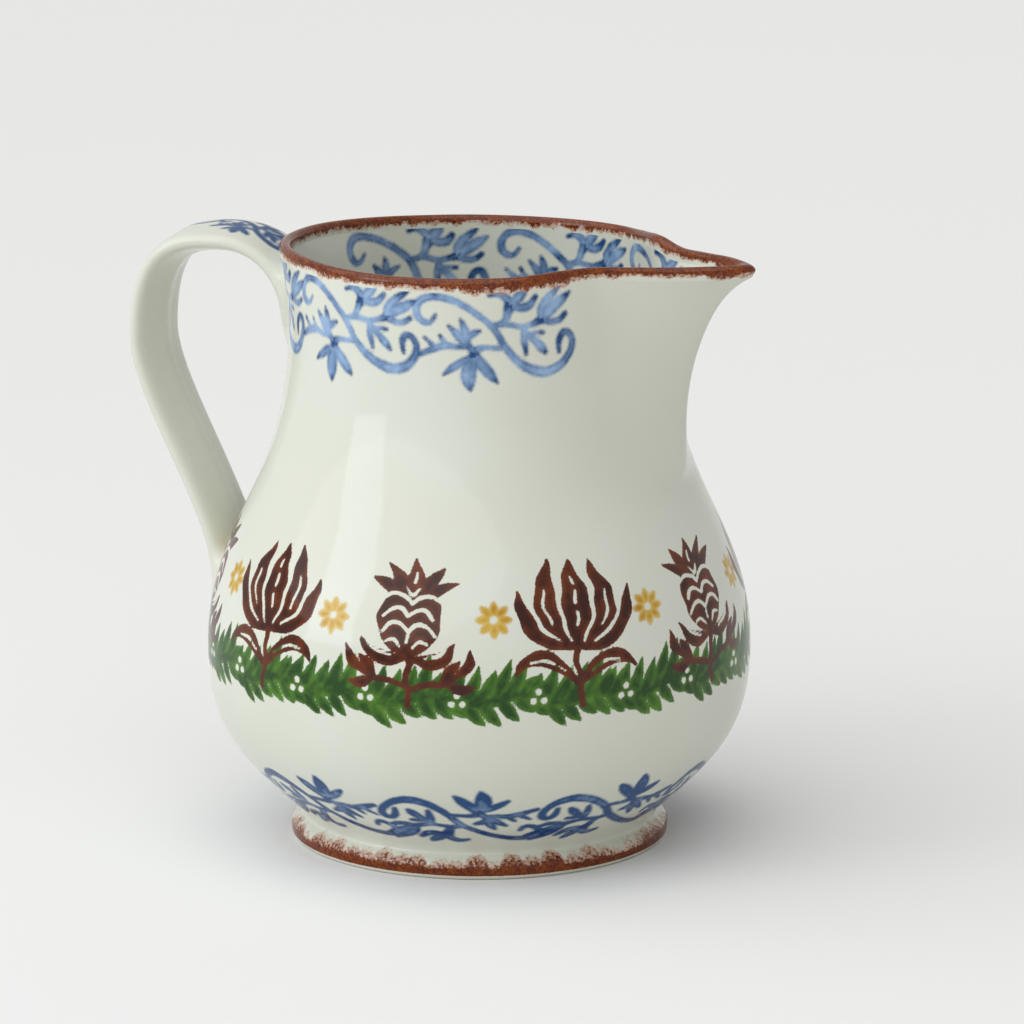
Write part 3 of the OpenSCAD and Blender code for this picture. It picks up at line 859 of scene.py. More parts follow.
def paint_frieze(piece, s, a, r, z, outside):
    """The band of blooms over a leafy garland, with daisies between the blooms."""
    up = arc_length(s, z) - FRIEZE_UP
    step = 360 / FRIEZE_COUNT
    brown = np.full(a.shape, -PAINT_EDGE)
    green, ochre = brown.copy(), brown.copy()
    period = math.radians(step) * s.belly_r
    leaves = garland(period, GARLAND_PAIRS)
    for k in range(FRIEZE_COUNT):
        middle = FRIEZE_START + step * k
        off = around(a, middle)
        near = np.flatnonzero(outside & (np.abs(off) < step) & (up > FRIEZE_LOW) & (up < FRIEZE_HIGH))
        u, v = np.radians(off[near]) * r[near], up[near]
        u_bloom = swayed(u, v, size=.5, pace=.21, start=1.9 * k)
        u_bloom = swayed(u_bloom, v, size=.25, pace=.9, start=k)
        v_bloom = swayed(v, u, size=.5, pace=.19, start=2.7 * k)
        strokes, resist = BLOOMS[k % 2]
        bloom = np.minimum(depth_in(strokes, u_bloom, v_bloom), -depth_in(resist, u_bloom, v_bloom))
        brown[near] = np.maximum(brown[near], bloom)
        even = np.radians(off[near]) * s.belly_r
        band = depth_in(leaves, swayed(even, v, size=.3, pace=.4, start=k),
                        swayed(v, even, size=.4, pace=.13, start=k))
        for x in (-period / 4, period / 4 + BERRY_SHIFT):
            band = np.minimum(band, -depth_in(BERRIES, even - x, v - BERRY_WAVE * math.sin(x)))
        own = np.abs(even) < period / 2 + GARLAND_LAP
        green[near] = np.maximum(green[near], np.where(own, band, -PAINT_EDGE))
        side = np.radians(around(a[near], middle + step / 2)) * r[near]
        tilt = v - DAISY_UP - DAISY_WAVE * math.sin(2.1 * k)
        flower = np.minimum(depth_in(DAISY, side, tilt), DAISY_EYE_EDGE - depth_in(DAISY_EYE, side, tilt))
        ochre[near] = np.maximum(ochre[near], flower)
    store_paint(piece, "paint_brown", brown)
    store_paint(piece, "paint_green", green)
    store_paint(piece, "paint_ochre", ochre)


def paint_bowl(piece, s):
    """Paints the frieze and the base scroll on the outside of the bowl."""
    a, r, z = polar(places(piece))
    outside = r > plain_radius(s, np.maximum(z, s.foot_h)) - s.wall_t / 3
    paint_frieze(piece, s, a, r, z, outside)
    middles = [BASE_SCROLL_START + 360 / BASE_SCROLL_COUNT * k for k in range(BASE_SCROLL_COUNT)]
    blue, pooled = paint_scroll(a, r, BASE_SCROLL_UP - arc_length(s, z), middles, -1, BASE_SCROLL_TALL)
    store_paint(piece, "paint_blue", np.where(outside, blue + BASE_BLUE.wider, -PAINT_EDGE))
    store(piece, "brush_load", np.where(z < BASE_LOAD_TOP_Z, BASE_BLUE.load + pooled, 0))


def sponge_cover(a, r, depth, solid, reach, dab, seed):
    """How fully a sponged edge covers: 1 is solid and 0 is bare.

    depth is measured from the edge; each dab of the sponge leaves a domed tuft, of its own height and load.
    """
    rng = np.random.default_rng(seed)
    count = round(2 * math.pi * r / dab)
    tops, starts = rng.uniform(*TUFT_TOPS, count), rng.uniform(-TUFT_SHIFT, TUFT_SHIFT, count)
    loads = rng.uniform(*TUFT_LOADS, count)
    turn = (a / 360) % 1 * count
    cover = np.zeros(len(a))
    for side in (-1, 0, 1):
        k = (np.floor(turn).astype(int) + side) % count
        inside = (turn - np.floor(turn) - side - .5 - starts[k]) * TUFT_NARROWING
        dome = np.sqrt(np.maximum(0, 1 - inside ** 2))
        high = solid + (reach - solid) * tops[k] * dome
        fade = np.clip((high - depth) / np.maximum(FADE_LEAST, high - FADE_START * solid), 0, 1) ** FADE_POWER
        core = np.clip((solid * (CORE_LOW + CORE_RISE * loads[k] * dome) - depth) / (CORE_EDGE * solid), 0, 1)
        cover = np.maximum(cover, np.maximum(core, loads[k] * fade))
    return np.where(depth < CORE_ALWAYS * solid, 1.0, cover)


def rim_cover(s, a, z, outside):
    """The sponged edge of the rim; outside it is fuller where the sponge was pressed beside the spout."""
    depth = s.rim_z - z
    pressed = 1 + sum(share * bump(around(a, middle), spread) for middle, spread, share in RIM_PRESSES)
    return np.where(outside, sponge_cover(a, s.neck_r, depth / pressed, **RIM_SPONGE),
                    sponge_cover(a, s.neck_r, depth, **INSIDE_SPONGE))


# Materials

def add_node(tree, kind, inputs=None, **settings):
    """Adds a node with its settings, and sets or links its inputs; a node there stands for its output."""
    node = tree.nodes.new(kind)
    for key, value in settings.items():
        setattr(node, key, value)
    for key, value in (inputs or {}).items():
        if isinstance(value, bpy.types.Node):
            value = next(output for output in value.outputs if output.enabled)
        if isinstance(value, bpy.types.NodeSocket):
            tree.links.new(value, node.inputs[key])
        else:
            node.inputs[key].default_value = (*value, 1.0) if isinstance(value, Color) else value
    return node


def empty_tree(owner):
    """The nodes of a new material or world, without the ones it starts with."""
    owner.use_nodes = True
    owner.node_tree.nodes.clear()
    return owner.node_tree


def glazed_earthenware(name):
    """Cream earthenware, thrown, painted under a clear glaze and fired.

    The glass of the glaze mirrors the room sharply. The painting lies inside it, so it has no shine of
    its own, and it stays soft and watery at its edges.
    """
    if name in bpy.data.materials:
        return bpy.data.materials[name]
    paint = bpy.context.scene.pitcher_paint
    material = bpy.data.materials.new(name)
    tree = empty_tree(material)
    place = add_node(tree, "ShaderNodeTexCoord").outputs["Object"]
    noise = {}
    for key, grain_mm, detail, roughness in GRAINS:
        noise[key] = add_node(tree, "ShaderNodeTexNoise", {
            "Vector": place, "Scale": 1 / (grain_mm * MM), "Detail": detail, "Roughness": roughness})

    # The glaze is a little greener where it is thicker
    pooled = add_node(tree, "ShaderNodeMapRange", {"Value": noise["cloud"], "From Min": 0.3, "From Max": 0.7},
                      interpolation_type="SMOOTHSTEP")
    surface = add_node(tree, "ShaderNodeMix", {0: pooled, 6: paint.glaze, 7: paint.glaze_pool},
                       data_type="RGBA")

    # The brush was fuller in some places than in others; a grain is one half on average
    load = add_node(tree, "ShaderNodeAttribute", attribute_name="brush_load").outputs["Fac"]
    load = add_node(tree, "ShaderNodeMath", {0: load, 1: -sum(LOAD_GAINS.values()) / 2}, operation="ADD")
    for key, gain in LOAD_GAINS.items():
        load = add_node(tree, "ShaderNodeMath", {0: noise[key], 1: gain, 2: load}, operation="MULTIPLY_ADD")
    ragged = add_node(tree, "ShaderNodeMath", {0: noise["fine"], 1: noise["small"]}, operation="ADD")
    for key, soft, rough, edge_tone, middle_tone in PAINTS:
        light, dark = getattr(paint, key + "_light"), getattr(paint, key + "_dark")
        depth = add_node(tree, "ShaderNodeAttribute", attribute_name="paint_" + key).outputs["Fac"]
        wavy = add_node(tree, "ShaderNodeMath", {0: ragged, 1: rough, 2: depth}, operation="MULTIPLY_ADD")
        edge = PAINT_EDGE + rough
        cover = add_node(tree, "ShaderNodeMapRange", {
            "Value": wavy, "From Min": edge - soft, "From Max": edge + soft}, interpolation_type="SMOOTHSTEP")
        tone = add_node(tree, "ShaderNodeMapRange", {
            "Value": depth, "From Min": PAINT_EDGE + TONE_EDGE, "From Max": PAINT_EDGE + TONE_MIDDLE,
            "To Min": edge_tone, "To Max": middle_tone}, interpolation_type="SMOOTHSTEP")
        full = add_node(tree, "ShaderNodeMath", {0: tone, 1: load}, operation="ADD", use_clamp=True)
        shade = add_node(tree, "ShaderNodeMix", {0: full, 6: light, 7: dark}, data_type="RGBA")
        surface = add_node(tree, "ShaderNodeMix", {0: cover, 6: surface, 7: shade}, data_type="RGBA")

    # The sponged edge: solid brown that breaks up into stipples over a pinkish wash
    sponge = add_node(tree, "ShaderNodeAttribute", attribute_name="sponge").outputs["Fac"]
    touched = add_node(tree, "ShaderNodeMapRange", {"Value": sponge, "From Max": 0.08})
    mottle = add_node(tree, "ShaderNodeMath", {0: noise["small"], 1: 0.5, 2: noise["mottle"]},
                      operation="MULTIPLY_ADD")
    uneven = add_node(tree, "ShaderNodeMapRange", {"Value": mottle, "From Min": 0.6, "From Max": 0.95},
                      interpolation_type="SMOOTHSTEP")
    brown = add_node(tree, "ShaderNodeMix", {0: uneven, 6: paint.edge_dark, 7: paint.edge_light},
                     data_type="RGBA")
    for share, low, high, strength, tone in ((0.8, 0.52, 0.8, 0.8, paint.edge_wash),
                                             (1.4, 1.06, 1.32, 1.0, brown)):
        broken = add_node(tree, "ShaderNodeMath", {0: noise["stipple"], 1: share, 2: sponge},
                          operation="MULTIPLY_ADD")
        cover = add_node(tree, "ShaderNodeMapRange", {
            "Value": broken, "From Min": low, "From Max": high, "To Max": strength},
            interpolation_type="SMOOTHSTEP")
        cover = add_node(tree, "ShaderNodeMath", {0: cover, 1: touched}, operation="MULTIPLY")
        surface = add_node(tree, "ShaderNodeMix", {0: cover, 6: surface, 7: tone}, data_type="RGBA")

    # The glaze runs a little uneven, so what it mirrors has soft wavy edges
    waves = add_node(tree, "ShaderNodeMath", {0: noise["ripple"], 1: 0.12, 2: noise["wave"]},
                     operation="MULTIPLY_ADD")
    bumps = add_node(tree, "ShaderNodeBump", {"Strength": 1.0, "Distance": 0.35 * MM, "Height": waves})
    shader = add_node(tree, "ShaderNodeBsdfPrincipled", {
        "Base Color": surface, "Roughness": 0.45, "IOR": 1.5, "Specular IOR Level": 0.0,
        "Coat Weight": 0.8, "Coat Roughness": 0.07, "Coat IOR": 1.45, "Normal": bumps, "Coat Normal": bumps})
    add_node(tree, "ShaderNodeOutputMaterial", {"Surface": shader})
    return material


def bare_earthenware():
    """Fired clay without glaze, wiped clean where the foot stands: pale, dry and slightly gritty."""
    material = bpy.data.materials.new("bare_earthenware")
    tree = empty_tree(material)
    clay = bpy.context.scene.pitcher_paint.clay
    place = add_node(tree, "ShaderNodeTexCoord").outputs["Object"]
    grit = add_node(tree, "ShaderNodeTexNoise", {
        "Vector": place, "Scale": 1 / (CLAY_GRIT * MM), "Detail": 3.0})
    tone = add_node(tree, "ShaderNodeMix", {0: grit, 6: clay * 0.8, 7: clay}, data_type="RGBA")
    bumps = add_node(tree, "ShaderNodeBump", {"Strength": 0.4, "Distance": 0.2 * MM, "Height": grit})
    shader = add_node(tree, "ShaderNodeBsdfPrincipled", {
        "Base Color": tone, "Roughness": 0.85, "Normal": bumps})
    add_node(tree, "ShaderNodeOutputMaterial", {"Surface": shader})
    return material


class PITCHER_OT_foot(bpy.types.Operator):
    """Turns the foot ring with its sponged brown edge."""
    bl_idname = "pitcher.foot"
    bl_label = "Foot"

    def execute(self, context):
        s = form()
        in_r, in_round, out_round = s.foot_in_r, s.foot_inner_round, s.foot_round
        bulge_z = FOOT_BULGE_SHARE * s.foot_h
        flank = [(s.foot_r, bulge_z), (s.foot_r, mix(bulge_z, s.foot_h, FLANK_OUT_SHARE)),
                 (s.waist_r, mix(bulge_z, s.foot_h, FLANK_IN_SHARE)), (s.waist_r, s.waist_z)]
        piece = lathe("foot", [
            (straight((in_r, s.waist_z), (in_r, in_round)), 4),
            (quarter((in_r + in_round, in_round), in_round, 180, 270), 6),
            (straight((in_r + in_round, 0), (s.foot_r - out_round, 0)), 6),
            (quarter((s.foot_r - out_round, out_round), out_round, -90, 0), 10),
            (straight((s.foot_r, out_round), (s.foot_r, bulge_z)), 3),
            (stretch_of(flank, 0, 1 - FOOT_SEAM_SHARE), 12),
            (stretch_of(flank, 1 - FOOT_SEAM_SHARE, 1), 1),
            (straight((s.waist_r, s.waist_z), (in_r, s.waist_z)), 1),
        ], s.belly_columns)
        a, r, z = polar(places(piece))
        sponged = (r > s.foot_r - s.foot_w) & (z > FOOT_SPONGE_LOW_Z)
        store(piece, "sponge", np.where(sponged, sponge_cover(a, s.foot_r, z, **FOOT_SPONGE), 0))
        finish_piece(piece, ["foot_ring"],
                     [glazed_earthenware("sponged_glazed_earthenware"), bare_earthenware()])
        for face in piece.data.polygons:
            if face.center.z < BARE_Z * MM:
                face.material_index = 1
        return {"FINISHED"}


class PITCHER_OT_bowl(bpy.types.Operator):
    """Turns the lower bowl with its floor, and the shoulder."""
    bl_idname = "pitcher.bowl"
    bl_label = "Bowl"

    def execute(self, context):
        s = form()
        low = lower_curve(s)
        start = cubic(low, WAIST_TURN_SHARE)[0]
        slope = cubic(low, WAIST_TURN_SHARE + SLOPE_STEP)[0] - start
        fillet = [(s.waist_r, s.waist_z), (s.waist_r, s.waist_z + WAIST_RISE),
                  start - WAIST_RUN * slope / np.hypot(*slope), start]
        hollow = [(s.inside_r, s.belly_z),
                  (s.inside_r, s.belly_z - HOLLOW_DOWN_SHARE * (s.belly_z - s.floor_z)),
                  (mix(s.floor_r, s.inside_r, HOLLOW_TURN_SHARE), s.floor_z), (s.floor_r, s.floor_z)]
        plain, band = share_at_z(low, BASE_SCROLL_TOP_Z), share_at_z(low, FRIEZE_FOOT_Z)
        piece = lathe("bowl", [
            (straight((0, s.recess_h), (s.foot_in_r, s.recess_h)), 8),
            (straight((s.foot_in_r, s.recess_h), (s.foot_in_r, s.waist_z)), 1),
            (straight((s.foot_in_r, s.waist_z), (s.waist_r, s.waist_z)), 1),
            (stretch_of(fillet, 0, WAIST_SEAM_SHARE), 1),
            (stretch_of(fillet, WAIST_SEAM_SHARE, 1), 9),
            (stretch_of(low, WAIST_TURN_SHARE, plain), 44),
            (stretch_of(low, plain, band), 8),
            (stretch_of(low, band, 1 - BOWL_SEAM_SHARE), 16),
            (stretch_of(low, 1 - BOWL_SEAM_SHARE, 1), 1),
            (straight((s.belly_r, s.belly_z), (s.inside_r, s.belly_z)), 1),
            (hollow, 14),
            (straight((s.floor_r, s.floor_z), (0, s.floor_z)), 4),
        ], s.belly_columns)
        paint_bowl(piece, s)
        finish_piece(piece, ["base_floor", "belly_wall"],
                     [glazed_earthenware("glazed_earthenware")])

        up = upper_curve(s)
        top, plain = share_at_z(up, s.collar_z), share_at_z(up, FRIEZE_TOP_Z)
        inner_top = cubic(up, top)[0][0] - s.wall_t
        rise = s.collar_z - s.belly_z
        inner = [(inner_top, s.collar_z),
                 (inner_top + SHOULDER_OUT_SHARE * rise, s.collar_z - SHOULDER_DOWN_SHARE * rise),
                 (s.inside_r, s.belly_z + SHOULDER_UP_SHARE * rise), (s.inside_r, s.belly_z)]
        piece = lathe("shoulder", [
            (stretch_of(up, 0, COLLAR_SEAM_SHARE), 1),
            (stretch_of(up, COLLAR_SEAM_SHARE, plain), 76),
            (stretch_of(up, plain, top - COLLAR_SEAM_SHARE), 6),
            (stretch_of(up, top - COLLAR_SEAM_SHARE, top), 1),
            (straight(cubic(up, top)[0], (inner_top, s.collar_z)), 1),
            (inner, 12),
            (straight((s.inside_r, s.belly_z), (s.belly_r, s.belly_z)), 1),
        ], s.belly_columns)
        paint_bowl(piece, s)
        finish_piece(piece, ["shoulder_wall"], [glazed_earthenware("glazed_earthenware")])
        return {"FINISHED"}


class PITCHER_OT_neck(bpy.types.Operator):
    """Turns the neck and draws the spout out of it."""
    bl_idname = "pitcher.neck"
    bl_label = "Neck and spout"

    def execute(self, context):
        s = form()
        up = upper_curve(s)
        start, plain = share_at_z(up, s.collar_z), share_at_z(up, NECK_SCROLL_FOOT_Z)

        def inner(z):
            return (float(plain_radius(s, z)) - float(wall_at(s, z)), z)

        piece = lathe("neck_and_spout", [
            (stretch_of(up, start, start + COLLAR_SEAM_SHARE), 1),
            (stretch_of(up, start + COLLAR_SEAM_SHARE, plain), 20),
            (stretch_of(up, plain, 1), 22),
            (straight((s.neck_r, s.neck_z), (s.neck_r, s.seat_z - SEAM_STRIP)), 27),
            (straight((s.neck_r, s.seat_z - SEAM_STRIP), (s.neck_r, s.seat_z)), 1),
            (straight((s.neck_r, s.seat_z), inner(s.seat_z)), 1),
            (straight(inner(s.seat_z), inner(s.neck_z)), 26),
            (straight(inner(s.neck_z), inner(INSIDE_SCROLL_FOOT_Z)), 20),
            (straight(inner(INSIDE_SCROLL_FOOT_Z), inner(s.collar_z)), 10),
            (straight(inner(s.collar_z), cubic(up, start)[0]), 1),
        ], s.neck_columns)
        a, r, z = polar(places(piece))
        outside = r > plain_radius(s, z) - s.lip_t / 2
        a = crowd(a)
        r = np.where(outside, outer_radius(s, a, z), inner_radius(s, a, z))
        put_polar(piece, a, r, z + rim_wave(s, a) * rise_share(s, z))
        high = z - NECK_SCROLL_Z
        middles = [NECK_SCROLL_START - NECK_SCROLL_STEP * k for k in range(NECK_SCROLL_COUNT)]
        outer_blue, outer_pooled = paint_scroll(a, r, high, middles, 1)
        inner_blue, inner_pooled = paint_scroll(a, r, high, INSIDE_SCROLL_AT, -1)
        bare = np.abs(around(a, INSIDE_BARE_ANGLE)) < INSIDE_BARE_SPREAD
        inner_blue = np.where(bare, -PAINT_EDGE, inner_blue)
        store_paint(piece, "paint_blue", np.where(outside, outer_blue + NECK_BLUE.wider,
                                                  inner_blue + INSIDE_BLUE.wider))
        store(piece, "brush_load", np.where(outside, outer_pooled + NECK_BLUE.load,
                                            inner_pooled + INSIDE_BLUE.load))
        store(piece, "sponge", rim_cover(s, a, z, outside))
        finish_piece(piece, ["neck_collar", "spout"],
                     [glazed_earthenware("glazed_earthenware")])
        return {"FINISHED"}


class PITCHER_OT_lip(bpy.types.Operator):
    """Turns the rounded bead of the lip and bends it along the rim and the spout."""
    bl_idname = "pitcher.lip"
    bl_label = "Lip"

    def execute(self, context):
        s = form()
        arch = s.lip_t / 2
        strip_z, side_z = s.seat_z + SEAM_STRIP, s.seat_z + s.lip_h - arch
        middle = (s.neck_r - arch, side_z)
        in_r = s.neck_r - s.lip_t
        piece = lathe("lip", [
            (straight((s.neck_r, s.seat_z), (s.neck_r, strip_z)), 1),
            (straight((s.neck_r, strip_z), (s.neck_r, side_z)), 4),
            (quarter(middle, arch, 0, 90), 10),
            (quarter(middle, arch, 90, 180), 10),
            (straight((in_r, side_z), (in_r, strip_z)), 4),
            (straight((in_r, strip_z), (in_r, s.seat_z)), 1),
            (straight((in_r, s.seat_z), (s.neck_r, s.seat_z)), 1),
        ], s.neck_columns)
        a, r, z = polar(places(piece))
        a = crowd(a)
        inward = (s.neck_r - r) / s.lip_t
        seat = np.full(a.shape, s.seat_z)
        r = mix(outer_radius(s, a, seat), inner_radius(s, a, seat), inward)
        r = r + NOSE_LEAN * beak_share(a, SPOUT_HIGH_ANGLE) * ramp(z, s.seat_z, side_z)
        put_polar(piece, a, r, z + rim_wave(s, a))
        store(piece, "sponge", rim_cover(s, a, z, inward < .5))
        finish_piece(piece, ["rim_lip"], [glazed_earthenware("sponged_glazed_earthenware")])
        return {"FINISHED"}


def handle_line(s, h):
    """The handle's centre line as (place, way in, way out) points, in the plane of the spout."""
    def way(angle):
        return np.array([-math.cos(math.radians(angle)), math.sin(math.radians(angle))])

    root = np.array([-(s.neck_r - s.wall_t / 3), h.root_z])
    tail = np.array([-(s.belly_r - s.wall_t / 3), h.tail_z])
    crown = np.array([-h.crown_x, h.crown_z])
    bend = np.array([-h.reach, h.bend_z])
    hidden_root, hidden_tail = root + HIDDEN_ROOT, tail + HIDDEN_TAIL
    return [
        (hidden_root, hidden_root, hidden_root + HIDDEN_ROOT_WAY),
        (root, root - ROOT_TURN * way(ROOT_ANGLE),
         root + ROOT_RUN_SHARE * (h.crown_z - h.root_z) * way(ROOT_ANGLE)),
        (crown, crown + [CROWN_IN_SHARE * (h.crown_x + root[0]), 0],
         crown - [CROWN_OUT_SHARE * (h.reach - h.crown_x), 0]),
        (bend, bend + [0, BEND_UP_SHARE * (h.crown_z - h.bend_z)],
         bend - [0, BEND_DOWN_SHARE * (h.bend_z - h.tail_z)]),
        (tail, tail + TAIL_RUN_SHARE * (h.bend_z - h.tail_z) * way(TAIL_ANGLE),
         tail - TAIL_TURN * way(TAIL_ANGLE)),
        (hidden_tail, hidden_tail + HIDDEN_TAIL_WAY, hidden_tail),
    ]


class PITCHER_OT_handle(bpy.types.Operator):
    """Sweeps the strap of the handle and smooths its ends onto the neck and the belly."""
    bl_idname = "pitcher.handle"
    bl_label = "Handle"

    def execute(self, context):
        s, h = form(), in_mm(context.scene.pitcher_handle)
        bpy.ops.object.select_all(action="DESELECT")
        bpy.ops.curve.primitive_bezier_circle_add(radius=1, location=(0, 0, 0))
        section = context.object
        section.name = "handle_section"
        section.data.resolution_u = SECTION_STEPS
        for point in section.data.splines[0].bezier_points:
            point.handle_left_type = point.handle_right_type = "FREE"
            point.handle_left = point.co + (point.handle_left - point.co).normalized() * STRAP_SQUARENESS
            point.handle_right = point.co + (point.handle_right - point.co).normalized() * STRAP_SQUARENESS
            for key in ("co", "handle_left", "handle_right"):
                x, y, _ = getattr(point, key)
                setattr(point, key, Vector((x * h.strap_w / 2 * MM, y * h.strap_t / 2 * MM, 0)))
        strap = draw_curves("handle", [(handle_line(s, h), HANDLE_STEPS)])
        strap.data.twist_mode = "MINIMUM"
        strap.data.bevel_mode = "OBJECT"
        strap.data.bevel_object = section
        strap.data.use_fill_caps = True
        piece = to_mesh(strap)
        bpy.data.objects.remove(section)
        self.shape(piece, s, h)
        edit_all(piece, face_outwards)
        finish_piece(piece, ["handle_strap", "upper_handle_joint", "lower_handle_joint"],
                     [glazed_earthenware("glazed_earthenware")])
        return {"FINISHED"}

    def shape(self, piece, s, h):
        """Swells the ends, raises the ridge, smooths the clay onto the pot and paints the top."""
        columns = 4 * SECTION_STEPS
        co = places(piece).reshape(-1, columns, 3)
        middle = co.mean(1)
        way = np.gradient(middle, axis=0)
        way /= np.linalg.norm(way, axis=1, keepdims=True)
        run = np.concatenate([[0], np.cumsum(np.linalg.norm(np.diff(middle, axis=0), axis=1))])
        inward = np.stack([-way[:, 2], np.zeros(len(way)), way[:, 0]], -1)
        across = co[:, :, 1]
        thick = ((co - middle[:, None]) * inward[:, None]).sum(2)
        from_root = run - run[HANDLE_STEPS]
        from_tail = run[-1 - HANDLE_STEPS] - run
        root, tail = (np.clip(1 - off / (2 * h.joint_l), 0, JOINT_FULLEST) ** 2
                      for off in (from_root, from_tail))
        wide = 1 + (h.root_spread * root + h.tail_spread * tail) / h.strap_w
        deep = 1 + (h.root_swell * root + h.tail_swell * tail) / h.strap_t
        half = h.strap_w / 2
        ridge = np.where(thick > 0, h.ridge_h * np.exp(-(across / half / RIDGE_SPREAD_SHARE) ** 2), 0)
        across, thick = across * wide[:, None], thick * deep[:, None] + ridge
        out = np.stack([inward[:, 0][:, None] * thick, across, inward[:, 2][:, None] * thick], -1)
        flat = (middle[:, None] + out).reshape(-1, 3)

        # The clay is smoothed out along the pot's wall in a hollow curve
        a, r, z = polar(flat)
        body = outer_radius(s, np.abs(a), z)
        gap = np.clip(r - body, 0, h.fillet)
        lift = h.fillet - np.sqrt(np.maximum(0, h.fillet ** 2 - (h.fillet - gap) ** 2))
        outward = out.reshape(-1, 3)
        outward = outward / np.maximum(1e-6, np.linalg.norm(outward, axis=1, keepdims=True))
        radial = flat * [1, 1, 0] / np.maximum(1e-6, r)[:, None]
        along_wall = outward - (outward * radial).sum(1)[:, None] * radial
        flat = flat + along_wall * lift[:, None]

        # What lies inside the pot stays inside its wall
        hidden = r < body
        a, r, z = polar(flat)
        skin = outer_radius(s, np.abs(a), z)
        goal = np.clip(r, skin - SUNK_MOST, np.where(hidden, skin - SUNK_LEAST, np.inf))
        flat[:, :2] *= (goal / np.maximum(r, 1e-6))[:, None]
        put_places(piece, flat)

        u = (HANDLE_SCROLL_AT - np.repeat(from_root, columns)) / HANDLE_SCROLL_WIDE
        v = (across.ravel() - HANDLE_SCROLL_SIDE) / HANDLE_SCROLL_TALL
        top = (thick < 0).ravel()
        blue = depth_in(SCROLL + [HANDLE_TAIL], u, v) * HANDLE_SCROLL_WIDE + HANDLE_BLUE.wider
        store_paint(piece, "paint_blue", np.where(top, blue, -PAINT_EDGE))
        store(piece, "brush_load", np.full(top.shape, HANDLE_BLUE.load))


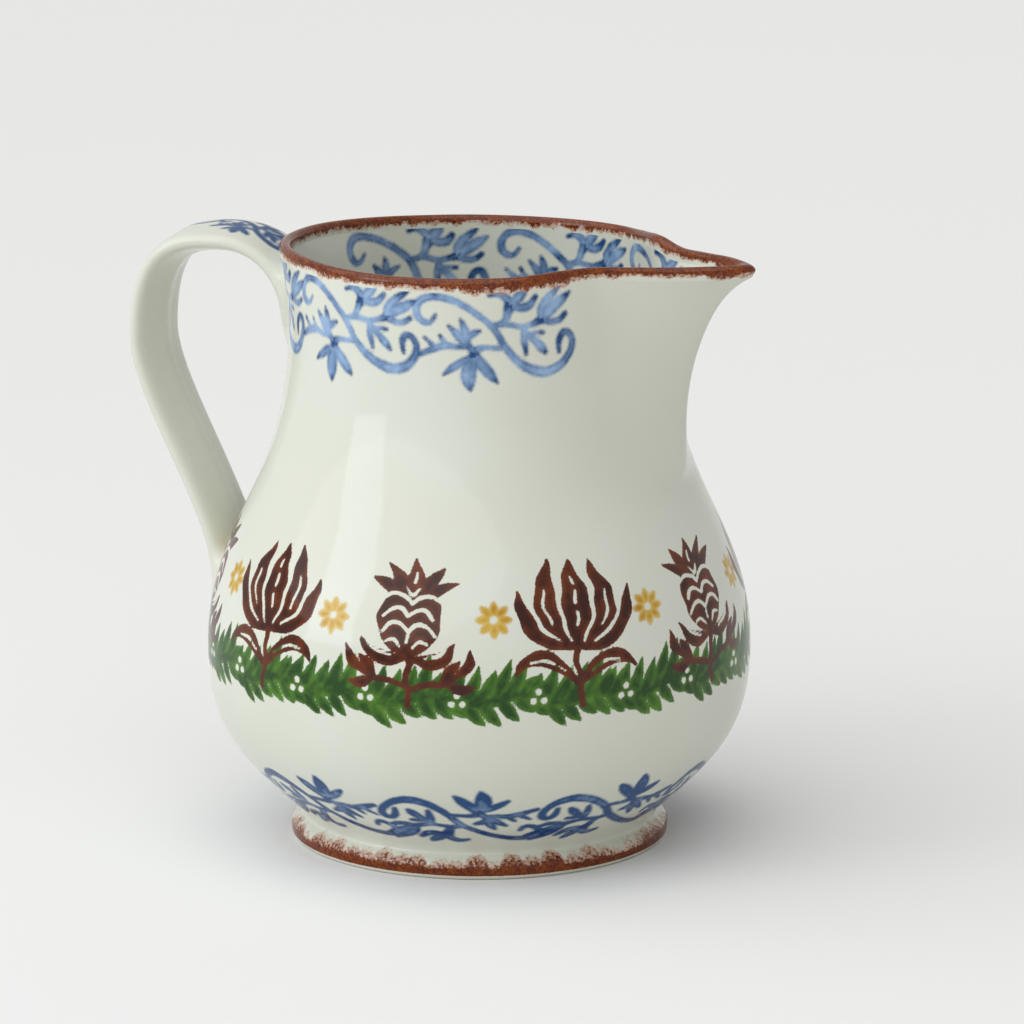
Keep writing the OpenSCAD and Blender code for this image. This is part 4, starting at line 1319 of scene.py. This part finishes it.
class PITCHER_OT_stage(bpy.types.Operator):
    """Sets the floor, the soft lights, the background and the camera."""
    bl_idname = "pitcher.stage"
    bl_label = "Stage"

    def execute(self, context):
        stage = context.scene.pitcher_stage
        bpy.ops.object.select_all(action="DESELECT")
        bpy.ops.mesh.primitive_plane_add(size=FLOOR_SIZE, location=(0, 0, 0))
        floor = context.object
        floor.name = "floor"
        floor.data.materials.append(self.paper(stage))
        self.lights(stage)
        self.world(context, stage)
        self.camera(context, stage)
        context.scene.view_settings.view_transform = "Standard"
        return {"FINISHED"}

    def paper(self, stage):
        """Matt paper under the pitcher, with barely visible clouds of a third of a metre."""
        material = bpy.data.materials.new("matt_paper")
        tree = empty_tree(material)
        place = add_node(tree, "ShaderNodeTexCoord").outputs["Object"]
        clouds = add_node(tree, "ShaderNodeTexNoise", {"Vector": place, "Scale": 3.0, "Detail": 2.0})
        tone = add_node(tree, "ShaderNodeMix", {0: clouds, 6: stage.floor * 0.985, 7: stage.floor},
                        data_type="RGBA")
        shader = add_node(tree, "ShaderNodeBsdfPrincipled", {
            "Base Color": tone, "Roughness": 0.9, "Specular IOR Level": 0.2})
        add_node(tree, "ShaderNodeOutputMaterial", {"Surface": shader})
        return material

    def lights(self, stage):
        """A window at the left, a broad light behind the camera and an even sky."""
        middle = Vector((0, 0, LIGHTS_AIM_Z))
        powers = (stage.window_power, stage.front_power)
        for (name, azimuth, elevation, distance, size, tint), power in zip(LIGHTS, powers):
            turn = stage.camera_azimuth + math.radians(azimuth)
            up = math.radians(elevation)
            back = Vector((math.sin(turn) * math.cos(up), -math.cos(turn) * math.cos(up), math.sin(up)))
            bpy.ops.object.light_add(type="AREA", location=middle + back * distance)
            light = bpy.context.object
            light.name = name
            light.rotation_mode = "QUATERNION"
            light.rotation_quaternion = back.to_track_quat("Z", "Y")
            light.data.shape = "RECTANGLE"
            light.data.size, light.data.size_y = size
            light.data.energy = power
            light.data.color = tint
        bpy.ops.object.light_add(type="SUN", location=(0, 0, 2),
                                 rotation=(math.radians(SKY_TILT), math.radians(SKY_ROLL), 0))
        sky = bpy.context.object
        sky.name = "sky_light"
        sky.data.angle = math.radians(SKY_SPREAD)
        sky.data.energy = stage.sky_power

    def world(self, context, stage):
        """A pale background for the camera and for reflections, and a plain soft light."""
        world = bpy.data.worlds.new("pale_room")
        context.scene.world = world
        tree = empty_tree(world)
        path = add_node(tree, "ShaderNodeLightPath")
        seen = path.outputs["Is Camera Ray"]
        for ray in ("Is Glossy Ray", "Is Transmission Ray"):
            seen = add_node(tree, "ShaderNodeMath", {0: seen, 1: path.outputs[ray]}, operation="MAXIMUM")
        light = add_node(tree, "ShaderNodeBackground", {"Color": (1, 1, 1, 1), "Strength": stage.ambient})
        pale = add_node(tree, "ShaderNodeBackground", {"Color": stage.backdrop, "Strength": 1.0})
        both = add_node(tree, "ShaderNodeMixShader", {0: seen, 1: light, 2: pale})
        add_node(tree, "ShaderNodeOutputWorld", {"Surface": both})

    def camera(self, context, stage):
        """The camera, where the photograph was taken from."""
        turn = stage.camera_azimuth
        place = Vector((math.sin(turn), -math.cos(turn), 0)) * stage.camera_distance
        bpy.ops.object.camera_add(location=(place.x, place.y, stage.camera_z),
                                  rotation=(math.pi / 2 - stage.camera_tilt, 0, turn - stage.camera_pan))
        camera = context.object
        camera.data.sensor_width = 36
        camera.data.lens = stage.camera_lens
        camera.data.clip_start = 0.01
        context.scene.camera = camera


class PITCHER_PT_panel(bpy.types.Panel):
    """Lists the steps that build the pitcher."""
    bl_idname = "PITCHER_PT_panel"
    bl_label = "Pitcher"
    bl_space_type = "VIEW_3D"
    bl_region_type = "UI"
    bl_category = "Pitcher"

    def draw(self, context):
        for operator in STEPS:
            self.layout.operator(operator.bl_idname)


GROUPS = {"pitcher_form": PitcherForm, "pitcher_handle": PitcherHandle,
          "pitcher_paint": PitcherPaint, "pitcher_stage": PitcherStage}
STEPS = (PITCHER_OT_foot, PITCHER_OT_bowl, PITCHER_OT_neck, PITCHER_OT_lip, PITCHER_OT_handle,
         PITCHER_OT_stage)


def register():
    for group in GROUPS.values():
        bpy.utils.register_class(group)
    for operator in STEPS:
        bpy.utils.register_class(operator)
    bpy.utils.register_class(PITCHER_PT_panel)
    for name, group in GROUPS.items():
        setattr(bpy.types.Scene, name, PointerProperty(type=group))


def unregister():
    for name in GROUPS:
        delattr(bpy.types.Scene, name)
    bpy.utils.unregister_class(PITCHER_PT_panel)
    for operator in reversed(STEPS):
        bpy.utils.unregister_class(operator)
    for group in reversed(GROUPS.values()):
        bpy.utils.unregister_class(group)


def main():
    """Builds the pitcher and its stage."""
    register()
    bpy.ops.pitcher.foot()
    bpy.ops.pitcher.bowl()
    bpy.ops.pitcher.neck()
    bpy.ops.pitcher.lip()
    bpy.ops.pitcher.handle()
    bpy.ops.pitcher.stage()


if __name__ == "__main__":
    main()
